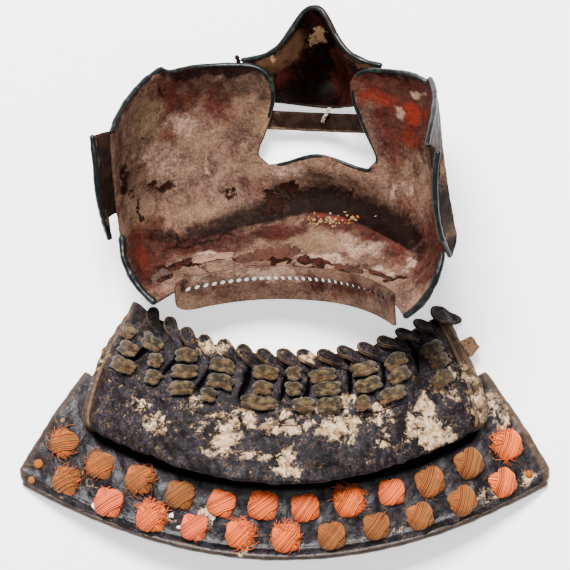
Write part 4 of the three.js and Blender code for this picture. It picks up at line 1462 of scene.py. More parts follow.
@dataclass
class ThroatFlange:
    """The strip below the chin, with a row of lacing holes."""

    shell: MaskShell = field(default_factory=MaskShell)
    half_width: float = 58.0
    top: float = -40.6
    bottom: float = -57.6
    wall: float = 1.8
    holes: int = 30
    first_hole: float = -53.0
    last_hole: float = 51.0
    hole_level: float = -46.6
    hole_radius: float = 1.25
    clearance: float = 0.3
    flats: int = 6
    end_round: float = 7.0
    edge_steps: int = 4
    edge_bulge: float = 0.12

    RED = patches(
        (33, -3, 15, 4, -8, 0.85), (16, -1, 6, 4, 0, 0.7), (-36, 0, 8, 3, 0, 0.45),
        (50, -9, 8, 5, -25, 0.6),
    )
    DIM = patches((0, 0, 70, 14, 0, 0.3), (-30, -2, 26, 7, 0, 0.42))
    DARK = patches(
        (20, -1, 5, 4, 0, 0.6), (30, -12, 20, 1.5, -12, 0.5), (52, -6, 3, 6, 10, 0.5),
        (-50, -2, 3, 5, 0, 0.6),
    )
    PALE = patches((-8, 5, 20, 3, 0, 0.5), (-42, 3, 6, 4, 0, 0.4))

    def wrapped(self, flat: Array) -> Array:
        """Carries flat places onto the flange's front face.

        The face follows the jaw's throat line in plan, moved back by a clearance, and is upright.

        Args:
            flat: Distance across and level.

        Returns:
            Points with their coordinates in the last axis.
        """
        scale = self.shell.girth / self.shell.throat_half_width
        girth = flat[..., 0] * scale
        here = self.shell.throat(girth)
        along = self.shell.throat(girth + 1) - self.shell.throat(girth - 1)
        out = unit(columns(-along[..., 2], 0.0, along[..., 0]))
        return columns(here[..., 0], flat[..., 1], here[..., 2]) + out * (self.clearance + self.wall)

    def tiles(self, pitch: float) -> list[Array]:
        """The row of square tiles, each drawn in to a round hole in its middle.

        Round each tile the places run from a circle to the square along straight spokes.

        Args:
            pitch: Side of a tile.

        Returns:
            Each tile's flat places, by spoke place and turn.
        """
        count = 4 * self.flats
        turn = 2 * np.pi * (np.arange(count + 1) + 0.5 * self.flats) / count
        side = np.arange(self.flats) / self.flats * 2 - 1
        one = np.ones(self.flats)
        x = np.concatenate([-side, -one, side, one])
        y = np.concatenate([one, -side, -one, side])
        square = np.stack([np.append(x, x[0]), np.append(y, y[0])], 1) * pitch / 2
        circle = np.stack([np.cos(turn), np.sin(turn)], 1) * self.hole_radius
        spoke = np.array([0, 0.08, 0.5, 1])[:, None, None]
        ring = lerp(circle[None], square[None], spoke)[:, ::-1]
        middles = np.linspace(self.first_hole, self.last_hole, self.holes)
        return [ring + np.array([middle, self.hole_level]) for middle in middles]

    def skin(self) -> Surface:
        """Returns the flange's seen face with its holes, in the mask's frame."""
        pitch = (self.last_hole - self.first_hole) / (self.holes - 1)
        low, high = self.hole_level - pitch / 2, self.hole_level + pitch / 2
        left, right = self.first_hole - pitch / 2, self.last_hole + pitch / 2
        row = np.linspace(left, right, self.holes * self.flats + 1)
        ends = [np.linspace(-self.half_width, left, 9), np.linspace(right, self.half_width, 15)]
        whole = np.concatenate([ends[0][:-1], row, ends[1][1:]])
        bands = [np.linspace(self.bottom, low, 18), np.linspace(high, self.top, 12)]
        grids = [columns(whole[None, :], band[:, None]) for band in bands]
        grids += [columns(end[None, :], np.linspace(low, high, self.flats + 1)[:, None]) for end in ends]
        flats = [self.rounded(grid) for grid in grids + self.tiles(pitch)]
        return Surface.joined(*[Surface.of_grid(self.wrapped(flat)) for flat in flats]).welded()

    def rounded(self, flat: Array) -> Array:
        """Narrows the strip to a half round at its left end.

        Args:
            flat: Flat places of the plain strip.

        Returns:
            The flat places, drawn in towards its middle line.
        """
        middle = (self.top + self.bottom) / 2
        reach = np.clip((flat[..., 0] + self.half_width) / self.end_round, 0, 1)
        share = lerp(0.45, 1, np.sqrt(1 - (1 - reach) ** 2))
        return columns(flat[..., 0], middle + (flat[..., 1] - middle) * share)

    def build(self) -> None:
        """Builds the flange."""
        skin = self.skin()
        skin.paint(MASK_PLACE, red=self.RED, dark=self.DARK, pale=self.PALE, dim=self.DIM)
        flange = skin.thickened(self.wall, self.edge_steps, self.edge_bulge)
        add_piece("throat_flange_pierced", flange, MASK_PLACE, INSIDE, Slot.RED_LACQUER, "throat_flange")


@dataclass(frozen=True)
class Strip:
    """A torn strip on the jaw: where it starts and ends by girth, its share down the jaw at both
    ends, its half height as a share, how pale it is and how far its edge curls up."""

    start: float
    end: float
    down_start: float
    down_end: float
    half: float
    tone: float
    curl: float


@dataclass
class SeamStrips:
    """Torn strips of lacquered cloth that once covered the seam between chin and flange."""

    lift: float = 0.5
    wall: float = 0.6

    STRIPS = (
        Strip(-56, -8, 0.905, 0.895, 0.042, 0.12, 0.8), Strip(-81, -56, 0.80, 0.845, 0.026, 0.9, 1.2),
        Strip(-97, -80, 0.79, 0.78, 0.030, 0.0, 0.6), Strip(-7, 24, 0.955, 0.965, 0.026, 0.0, 0.5),
        Strip(26, 56, 0.97, 0.955, 0.020, 0.1, 0.5), Strip(-52, -30, 0.965, 0.965, 0.014, 0.3, 0.4),
        Strip(-108, -98, 0.84, 0.86, 0.016, 0.0, 0.5), Strip(60, 84, 0.93, 0.90, 0.012, 0.05, 0.6),
    )

    def strip(self, shell: MaskShell, strip: Strip, seed: int) -> Surface:
        """One strip: a grid on the jaw whose outline is shaken by ripples and whose upper edge curls.

        Args:
            shell: The shell it lies on.
            strip: Its place.
            seed: Picks its outline.

        Returns:
            The strip with its wall, in the mask's frame.
        """
        along = np.linspace(0, 1, 70)[None, :]
        over = np.linspace(1, -1, 12)[:, None]
        line = columns(along[0] * (strip.end - strip.start), 0.0, 0.0)
        upper = 0.75 + 0.30 * ripple(line, 7, seed) + 0.12 * ripple(line, 2, seed + 1)
        lower = 0.75 + 0.30 * ripple(line, 9, seed + 2) + 0.12 * ripple(line, 2, seed + 3)
        taper = np.minimum(1, 8 * np.minimum(along, 1 - along)) ** 0.5
        reach = np.where(over < 0, upper[None], lower[None]) * taper
        share = lerp(strip.down_start, strip.down_end, along) + over * strip.half * reach
        column = strip.start + (strip.end - strip.start) * along + 0 * over
        grid = shell.jaw(column, np.minimum(share, 1.0))
        skin = Surface.of_grid(grid)
        edge = np.broadcast_to(np.clip(-over, 0, 1) ** 2 * strip.curl, column.shape).ravel()
        bumps = 0.25 * ripple(skin.points, 5, seed + 4)
        skin.points += skin.normals() * (self.lift + edge + bumps)[:, None]
        skin.fill(tone=strip.tone)
        return skin.thickened(self.wall, 3)

    def build(self, shell: MaskShell) -> None:
        """Builds all strips as one piece.

        Args:
            shell: The shell that they lie on.
        """
        parts = [self.strip(shell, strip, 300 + 10 * k) for k, strip in enumerate(self.STRIPS)]
        add_piece("seam_strips", Surface.joined(*parts), MASK_PLACE, TornCloth().material(),
                  Slot.RED_LACQUER)


@dataclass
class Crumbling:
    """Crumbs of broken ground lying on the floor of the chin."""

    count: int = 46
    seed: int = 5
    middle: tuple[float, float] = (23.5, 32.3)
    spread: tuple[float, float] = (9.0, 2.0)

    def build(self, shell: MaskShell) -> None:
        """Builds the crumbs: small lumps, each a knobbly ball, set on the shell's inner face.

        Args:
            shell: The shell that they lie in.
        """
        rng = np.random.default_rng(self.seed)
        column, share = np.meshgrid(np.linspace(-40, 60, 201), np.linspace(0.4, 1, 121))
        floor = MASK_PLACE.carry(shell.jaw(column, share)).reshape(-1, 3)
        wanted = rng.normal(self.middle, self.spread, (self.count, 2))
        near = np.argmin(np.linalg.norm(floor[None, :, :2] - wanted[:, None], axis=2), axis=1)
        size = rng.uniform(0.4, 1.1, self.count)
        centre = floor[near] + columns(0, 0, size * 0.4)
        turn = np.linspace(-1, 1, 7)
        way = unit(rng.normal(size=(self.count, 3)))
        paths = centre[:, None] + way[:, None] * (turn[None, :, None] * size[:, None, None] * 0.6)
        knobs = 1 + 0.35 * rng.uniform(-1, 1, (self.count, 7))
        radii = size[:, None] * np.sqrt(1.02 - turn**2)[None] * knobs
        lumps = tubes(paths, radii, unit(np.cross(way, (0.3, 0.5, 0.8)))[:, None], 7, round_ends=False)
        tone = rng.choice([0.0, 0.1, 0.9], self.count, p=[0.5, 0.3, 0.2])
        rings = np.repeat(tone, 7 * 7)
        lumps.values["tone"] = np.concatenate([rings, tone, tone])
        add_piece("chin_crumbs", lumps, OBJECT_PLACE, Crumbs().material(), Slot.RED_LACQUER)


# ---- The throat guard ----


@dataclass
class Lame:
    """One lame: a strip of a fan about a centre, arched from end to end."""

    top_radius: float
    bottom_radius: float
    top_angle: float
    bottom_angle: float
    spread: float
    crest: float
    top_height: float
    bottom_height: float
    bulge: float
    flare: float
    corner_angle: float
    corner_share: float
    wall: float = 3.2
    fan_centre: float = 97.5
    arch_power: float = 2.2

    def point(self, across: Array, down: Array) -> Array:
        """The lame's outer face.

        At a share down, the radius and half angle change steadily, with the corners rounded by a
        quarter circle. Across, the height falls off from the crest by a power.

        Args:
            across: From -1 at the left end to 1 at the right.
            down: From 0 at the top edge to 1 at the bottom.

        Returns:
            Points with their coordinates in the last axis.
        """
        corner = np.clip(1 - (1 - down) / self.corner_share, 0, 1)
        half = (lerp(self.top_angle, self.bottom_angle, down) + self.spread * np.sin(np.pi * down)
                - self.corner_angle * (1 - np.sqrt(1 - corner**2)))
        angle = np.radians(across * half)
        radius = lerp(self.top_radius, self.bottom_radius, down) + self.flare * down * across**4
        arch = self.crest * (1 - np.abs(across) ** self.arch_power)
        height = lerp(self.top_height, self.bottom_height, down) + self.bulge * np.sin(np.pi * down)
        return columns(radius * np.sin(angle), self.fan_centre - radius * np.cos(angle), arch + height)

    def local(self, angle: float, radius: float) -> tuple[Array, Array]:
        """A frame on the outer face.

        Args:
            angle: Degrees from the middle of the fan.
            radius: Distance from its centre.

        Returns:
            The place, and a matrix whose columns run along the lame, up it and outwards.
        """
        down = (radius - self.top_radius) / (self.bottom_radius - self.top_radius)
        across = angle / lerp(self.top_angle, self.bottom_angle, down)
        here, beside, above = (self.point(np.array(across + a), np.array(down - b))
                               for a, b in ((0, 0), (0.02, 0), (0, 0.02)))
        along = unit(beside - here)
        out = unit(np.cross(along, above - here))
        return here, np.stack([along, np.cross(out, along), out], axis=1)

    def set_on(self, shape: Surface, angle: float, radius: float, lift: float) -> Surface:
        """Returns a flat-lying shape set on the outer face at an angle, radius and lift."""
        here, basis = self.local(angle, radius)
        return Surface(shape.points @ basis.T + here + basis[:, 2] * lift, shape.faces, shape.values)


UPPER = Lame(131.5, 194.2, 35.8, 31.6, 0.9, 36.0, 3.4, 19.0, 1.5, 1.5, 1.4, 0.1)
LOWER = Lame(175.0, 233.4, 35.5, 34.8, 0.3, 30.0, 4.2, 3.4, 1.2, 4.0, 1.3, 0.1)


@dataclass
class UpperLame:
    """The upper lame with its row of scale heads, its mid ridge and its end strips."""

    lame: Lame = field(default_factory=lambda: UPPER)
    scales: int = 17
    lift: float = 1.3
    fade: float = 0.42
    head_length: float = 12.0
    head_half_width: float = 2.8
    head_tip: float = 1.6
    head_lean: float = 52.0
    head_wall: float = 1.5
    head_rim: float = 0.9
    head_dive: float = 3.4
    head_tilt: float = 0.16
    head_drop: float = 3.4
    head_rise: float = 3.6
    head_lift: float = 3.5
    end_head_width: float = 1.9
    top_drop: float = 0.05
    groove_width: float = 1.3
    groove_depth: float = 2.2
    ridge_down: float = 0.56

    GROOVES = (-28.6, -22.5, -15.7, -8.0, -0.6, 3.9, 11.9, 18.4, 25.1)
    FLAKE = patches(
        (-72, -62, 10, 5, -30, 0.42), (-64, -71, 8, 6, -25, 0.55), (-48, -58, 7, 6, -30, 0.5),
        (-30, -77, 7, 8, 0, 0.85), (-24, -68, 15, 5, 0, 0.6), (2, -90, 6, 8, 0, 0.8),
        (2, -70, 17, 6, 0, 0.6), (28, -72, 12, 8, 10, 0.72), (30, -60, 13, 5, 0, 0.6),
        (50, -78, 4, 3, 0, 0.7), (74, -75, 15, 8, -25, 0.85), (70, -62, 5, 5, 0, 0.85),
        (80, -50, 7, 10, 0, 0.55), (-38, -84, 5, 3, 0, 0.7), (-16, -85, 9, 3, 0, 0.62),
        (-99, -42, 6, 18, -28, 0.55), (10, -62, 12, 4, 0, 0.55), (95, -55, 6, 20, 18, 0.5),
        (-66, -31, 4, 2, -30, 0.8), (-35, -31, 13, 4, -12, 0.66), (12, -37, 6, 3, 0, 0.66),
        (-40, -70, 8, 4, 0, 0.5), (-10, -58, 8, 3, 0, 0.6), (48, -64, 8, 7, 0, 0.55),
    )

    def relief(self, across: Array, down: Array) -> Array:
        """The height added to the plain lame: lapped slats near the top, and a mid ridge.

        Args:
            across: From -1 at the left end to 1 at the right.
            down: From 0 at the top edge to 1 at the bottom.

        Returns:
            The height at each place.
        """
        place = (across + 1) / 2 * self.scales
        phase = place - np.floor(place)
        slats = self.lift * (1 - phase) * smoothstep(phase, 0, 0.10) * np.clip(1 - down / self.fade, 0, 1)
        sway = 0.012 * np.sin(9 * across) + 0.006 * np.sin(31 * across)
        step = 0.9 * smoothstep(self.ridge_down + sway - down, -0.01, 0.012)
        return slats + step * bell(down - self.ridge_down, 0.12)

    def groove(self, across: Array, down: Array) -> Array:
        """How deep each place lies in the gaps between the lacing columns: the plate sinks by it, and it is
        painted as shade.

        A gap is a bell across, a millimetre or so wide, that leans a little and ends below.

        Args:
            across: From -1 at the left end to 1 at the right.
            down: From 0 at the top edge to 1 at the bottom.

        Returns:
            A share from 0 to 1.
        """
        angle = across * lerp(self.lame.top_angle, self.lame.bottom_angle, down)
        radius = lerp(self.lame.top_radius, self.lame.bottom_radius, down)
        middles = np.array(self.GROOVES) + 0.8 * np.sin(9 * down)[..., None]
        apart = np.radians(angle[..., None] - middles) * radius[..., None]
        ends = 1 - smoothstep(down, 0.34, 0.46)
        return bell(apart, self.groove_width).max(axis=-1) * ends

    def plate(self) -> Surface:
        """Returns the lame's wall, a little uneven, in the guard's frame."""
        across = np.linspace(-1, 1, 20 * self.scales + 1)[None, :]
        down = np.concatenate([np.linspace(1, 0.9, 11)[:-1], np.linspace(0.9, 0, 75)])[:, None]
        start = self.top_drop * (1 + across)
        across, down = np.broadcast_arrays(across, start + (1 - start) * down)
        grid = self.lame.point(across, down)
        gaps = self.groove(across, down)
        grid[..., 2] += self.relief(across, down) - self.groove_depth * gaps
        plate = Surface.of_grid(grid)
        plate.dent((0.5, 20, 71), (0.22, 5, 72))
        # Painted shade in the gaps between lacing columns, and a broken painted shadow line just below the
        # ridge's step.
        step_shadow = bell(down - self.ridge_down - 0.012, 0.008) * smoothstep(ripple(grid, 25, 73), -0.2, 0.8)
        plate.values["groove"] = np.maximum(gaps, 0.8 * step_shadow).ravel()
        ends = smoothstep(np.abs(across), 0.94, 0.99) * np.where(across > 0, 0.4, 0.15)
        plate.values["worn"] = np.broadcast_to(ends, across.shape).ravel()
        return plate.thickened(self.lame.wall)

    def head(self, size: float, seed: int) -> Surface:
        """One scale head: a tongue with a round top, dished inside a raised rim.

        Its half width follows a quarter ellipse near the top and is steady below, its rim is a bell
        near its outline, and its foot dives into the plate.

        Args:
            size: Share of the usual width.
            seed: Picks its unevenness.

        Returns:
            The head lying flat, its top upwards.
        """
        ring = np.linspace(0, 1, 16)[:, None]
        turn = np.linspace(-np.pi, np.pi, 49)[None, :]
        reach = self.head_length * smoothstep(-np.cos(turn), -0.2, 1) + self.head_half_width
        x = -self.head_half_width * size * np.sin(turn) * ring
        y = (np.cos(turn) * np.where(np.cos(turn) > 0, self.head_tip * self.head_half_width, reach)) * ring
        raised = self.head_rim * bell(ring - 0.86, 0.12)
        height = raised - self.head_dive * smoothstep(-y, 3.0, 11.0) - self.head_tilt * x
        grid = columns(x, y - self.head_half_width, height)[:, ::-1]
        skin = Surface.of_grid(grid).welded()
        skin.points[:, 2] += 0.14 * ripple(skin.points, 4, seed)
        above = 1 + skin.points[:, 1] / self.head_half_width
        above = np.where(above > 0, above / self.head_tip, above * 0.3)
        out = np.hypot(skin.points[:, 0] / (self.head_half_width * size), above)
        # Tan on the raised rim's upper part, strongest on the head's left side: rubbed ground and a painted
        # highlight along the rim.
        left = smoothstep(-skin.points[:, 0], -1.5, 1.5)
        tan_share = smoothstep(skin.points[:, 1], -11, -5) * lerp(0.4, 1, left)
        skin.values["worn"] = 0.45 * bell(out - 0.88, 0.09) * tan_share
        # Painted shade darkening the middle of the head's dish.
        skin.values["groove"] = 0.3 * bell(out - 0.5, 0.3)
        return skin.thickened(self.head_wall)

    def heads(self) -> Surface:
        """Returns the whole row of heads, leaning left and lapped, with a wide one at the right."""
        parts = []
        step = 2 * self.lame.top_angle / self.scales
        rng = np.random.default_rng(9)
        for k in range(1, self.scales):
            wide = self.end_head_width if k == self.scales - 1 else 1.0
            head = self.head(wide * rng.uniform(0.94, 1.08), 90 + k)
            angle = -self.lame.top_angle + step * (k + 0.25)
            lean = self.head_lean + 10 * wide - 10 + rng.uniform(-5, 5)
            up = self.head_rise - self.head_drop * (1 + angle / self.lame.top_angle) + rng.uniform(-0.5, 0.5)
            head.points = turned(head.points, lean) + np.array([0, up, 0])
            parts.append(self.lame.set_on(head, angle, self.lame.top_radius + 1.2, self.head_lift))
        return Surface.joined(*parts)

    def end_strips(self) -> Surface:
        """Returns the thin raised strips along both ends."""
        down = np.linspace(0.06, 0.97, 90)
        lines = [self.lame.point(np.full(90, across), down) + np.array([0, 0, 0.5])
                 for across in (-0.975, 0.945, 0.985)]
        strips = tubes(np.stack(lines), 0.9, (0, 0, 1.0), 8, (1.0, 0.8))
        strips.fill(worn=0.45)
        return strips

    def build(self) -> None:
        """Builds the lame, its heads and strips as one piece."""
        whole = Surface.joined(self.plate(), self.heads(), self.end_strips())
        whole.paint(GUARD_PLACE, flake=self.FLAKE)
        finish = FlakedLacquer("flaked_black_lacquer", amount=-0.06, gloss=0.45, dust=0.9, shine=0.07)
        add_piece("upper_lame_lacquered", whole, GUARD_PLACE, finish.material(), Slot.BLACK_LACQUER,
                  "upper_lame")


@dataclass(frozen=True)
class Boss:
    """A small round boss: its place in plan, its size as a share of the usual, and its tone."""

    x: float
    y: float
    size: float
    tone: float


@dataclass
class LowerLame:
    """The lower lame with its rolled lower rim, its ribs between the knots and its small bosses."""

    lame: Lame = field(default_factory=lambda: LOWER)
    rim: float = 2.0
    rim_sunk: float = 0.7
    rib_pitch: float = 5.8
    rib_height: float = 0.9
    boss_radius: float = 2.6
    boss_height: float = 1.6

    FLAKE = patches(
        (-40, -118, 5, 6, 20, 0.8), (-34, -111, 4, 3, 30, 0.8), (-112, -45, 3, 9, -30, 0.7),
        (122, -98, 5, 4, -40, 0.85), (106, -104, 14, 4, 30, 0.6), (108, -66, 5, 14, 20, 0.75),
        (-100, -100, 12, 3, -30, 0.5), (-20, -134, 3, 2, 0, 0.9), (60, -121, 11, 3, 14, 0.6),
        (-60, -118, 14, 3, -22, 0.5),
    )
    BOSSES = (Boss(-122.5, -88.5, 1.0, 0.9), Boss(-127, -95.5, 0.8, 0.7), Boss(121.5, -93.5, 0.8, 1.0),
              Boss(-111, -67.5, 0.7, 0.3))
    WHITE_SPOTS = patches(
        (-96.5, -112, 1.5, 1.5, 0, 1.0), (-35.5, -116, 3, 2, 30, 0.9), (-52, -123, 2, 1.2, 0, 0.9),
        (-58, -116.5, 2.2, 1.6, 40, 0.9),
    )

    def relief(self, across: Array, down: Array) -> Array:
        """The added height: a bead over the rim, and upright ribs midway between knots.

        Args:
            across: From -1 at the left end to 1 at the right.
            down: From 0 at the top edge to 1 at the bottom.

        Returns:
            The height at each place.
        """
        angle = across * lerp(self.lame.top_angle, self.lame.bottom_angle, down)
        turn = 2 * np.pi * angle / self.rib_pitch
        ribs = np.cos(turn) * 0.5 + 0.5 * np.cos(2 * turn)
        middle = smoothstep(down, 0.1, 0.3) * (1 - smoothstep(down, 0.86, 0.93))
        return self.rib_height * ribs * middle * 0.6 + 0.8 * bell(down - 0.93, 0.02)

    def bosses(self) -> Surface:
        """Returns the small round bosses at the ends: low domes, carried up a short path."""
        rise = np.array([0, 0.5, 0.85, 1.0])
        fat = np.array([1.0, 0.92, 0.6, 0.2])
        parts = []
        for boss in self.BOSSES:
            angle = math.degrees(math.atan2(boss.x, self.lame.fan_centre - boss.y))
            radius = math.hypot(boss.x, self.lame.fan_centre - boss.y)
            path = columns(0.0, 0.0, rise * self.boss_height * boss.size - 0.4)[None]
            dome = tubes(path, fat * self.boss_radius * boss.size, (0, 1.0, 0), 14, round_ends=False)
            dome.fill(tone=boss.tone)
            parts.append(self.lame.set_on(dome, angle, radius, 0.2))
        return Surface.joined(*parts)

    def build(self) -> None:
        """Builds the lame with its rim as one piece, and the bosses."""
        down = np.concatenate([np.linspace(1, 0.84, 24)[:-1], np.linspace(0.84, 0, 60)])[:, None]
        across, down = np.broadcast_arrays(np.linspace(-1, 1, 401)[None, :], down)
        grid = self.lame.point(across, down)
        grid[..., 2] += self.relief(across, down)
        skin = Surface.of_grid(grid)
        skin.dent((0.4, 22, 81), (0.16, 5, 82))
        tan_share = np.where(across > 0, 0.3, 0.12)
        skin.values["worn"] = (smoothstep(np.abs(across), 0.97, 0.99) * tan_share).ravel()
        # Painted shadow of the upper lame's lower edge, black over this lame's upper part, short of both
        # ends.
        ends = 1 - smoothstep(np.abs(across), 0.78, 0.9)
        skin.values["groove"] = ((1 - smoothstep(down, 0.37, 0.5)) * ends).ravel()
        plate = skin.thickened(self.lame.wall)
        sunk = np.array([0, 0, self.rim_sunk * self.rim])
        path = (self.lame.point(np.linspace(-1, 1, 200), np.ones(200)) - sunk)[None]
        bead = tubes(path, uneven(self.rim, path, (0.08, 9, 83)), (0, 0, 1.0), 12)
        bead.fill(worn=0.12)
        whole = Surface.joined(plate, bead)
        whole.paint(GUARD_PLACE, flake=self.FLAKE, white=self.WHITE_SPOTS)
        finish = FlakedLacquer("glossy_black_lacquer", amount=-0.14, gloss=0.26, dust=0.6, shine=0.26)
        add_piece("lower_lame_lacquered", whole, GUARD_PLACE, finish.material(), Slot.BLACK_LACQUER,
                  "lower_lame")
        add_piece("lame_bosses", self.bosses(), GUARD_PLACE, Crumbs().material(), Slot.LEATHER)


@dataclass(frozen=True)
class StubColumn:
    """One column of lacing: each stub's angle and width, the first one's radius, and their lean."""

    angles: tuple[float, float, float]
    widths: tuple[float, float, float]
    radius: float
    lean: float


@dataclass
class Lacing:
    """What is left of the lacing on the upper lame: columns of three short stubs of flat braid."""

    spacing: float = 7.6
    half_length: float = 6.3
    end_gap: float = 0.82
    rise: float = 1.0
    upper_half: float = 2.4
    lower_half: float = 1.6
    lift: float = 2.3

    COLUMNS = (
        StubColumn((-31.9, -30.1, -29.3), (0.6, 0.95, 1.25), 144.6, -4),
        StubColumn((-26.8, -24.5, -23.6), (1.1, 0.6, 0.65), 143.2, 4),
        StubColumn((-19.6, -18.7, -18.2), (1.0, 1.15, 1.0), 142.6, -14),
        StubColumn((-12.3, -11.8, -13.6), (1.1, 1.1, 0.6), 142.0, -4),
        StubColumn((-3.7, -4.1, -4.6), (1.1, 0.75, 1.5), 142.2, 2),
        StubColumn((1.8, 1.5, 3.2), (0.55, 0.6, 0.85), 143.0, 0),
        StubColumn((7.3, 7.6, 7.6), (1.1, 1.1, 1.1), 144.2, -4),
        StubColumn((15.2, 15.2, 13.3), (1.1, 1.15, 0.6), 145.8, 4),
        StubColumn((21.4, 20.9, 18.3), (1.05, 1.05, 1.25), 146.2, -4),
        StubColumn((28.4, 28.5, 27.2), (1.1, 0.95, 1.1), 149.0, 2),
    )

    def stub(self, width: float, lean: float, seed: int) -> Surface:
        """One stub: a flat loaf over a thinner lip, and the braid's underside between them.

        Each is an ellipse carried along a low arch, with an uneven radius and blunt ends.

        Args:
            width: Share of the full length across.
            lean: Turn in its own plane, in degrees.
            seed: Picks its unevenness.

        Returns:
            The stub lying flat about its middle.
        """
        rng = np.random.default_rng(seed)
        along = np.linspace(-1, 1, 26)
        length = self.half_length * width * self.end_gap
        arch = self.rise * (1 - along**2)
        sway = rng.uniform(-0.8, 0.8) * along**2 + 0.3 * np.sin(5 * along + seed)
        blunt = 1 - 0.35 * np.abs(along) ** 5
        parts = []
        loaf = (1.1, self.upper_half, 0.72, rng.uniform(0, 0.15))
        lip = (-2.2 + rng.uniform(-0.3, 0.3), self.lower_half, 0.8, rng.uniform(0.05, 0.3))
        for y, half, flat, under in (loaf, lip, (-0.8, 1.2, 0.9, 1.0)):
            dip = 0.7 if under == 1.0 else 0.0
            path = columns(along * length * rng.uniform(0.9, 1.04), y + sway, arch + 0.6 - dip)[None]
            radius = uneven(half * blunt, path, (0.03, 4.5, seed + int(10 * half)))
            parts.append(tubes(path, radius, (0, 0, 1.0), 16, (1.0, flat)))
            parts[-1].fill(under=under)
        both = Surface.joined(*parts)
        both.points = turned(both.points, lean + rng.uniform(-7, 7))
        both.points += columns(rng.uniform(-0.5, 0.5), rng.uniform(-0.4, 0.4), 0)
        return both

    def build(self) -> None:
        """Builds each column as a piece that stands for its solid."""
        material = Braid().material()
        for number, column in enumerate(self.COLUMNS, 1):
            stubs = []
            for row, (angle, width) in enumerate(zip(column.angles, column.widths)):
                stub = self.stub(width, -column.lean, 100 + 3 * number + row)
                stubs.append(UPPER.set_on(stub, angle, column.radius + row * self.spacing, self.lift))
            add_piece(f"lacing_stubs_{number}", Surface.joined(*stubs), GUARD_PLACE, material, Slot.BRAID,
                      f"lacing_column_{number}")


class KnotState(Enum):
    """How a cross knot has worn: its fade to tan, its pink blush and its number of loose threads. SHADED
    instead paints the upper lame's shadow on a knot by its fade.
    """

    WHOLE = (0.15, 0.5, 0)
    PINK = (0.1, 1.0, 10)
    TAN = (0.75, 0.2, 4)
    FRAYED = (0.15, 0.3, 90)
    TAN_FRAYED = (0.7, 0.2, 50)
    TORN = (0.35, 0.1, 80)
    PALE = (0.9, 0.9, 14)
    # Painted shadow of the upper lame, faded right through to dull brown.
    SHADED = (1.1, 0.0, 0)

    def __init__(self, fade: float, blush: float, loose: int) -> None:
        """Keeps the three numbers by name."""
        self.fade, self.blush, self.loose = fade, blush, loose


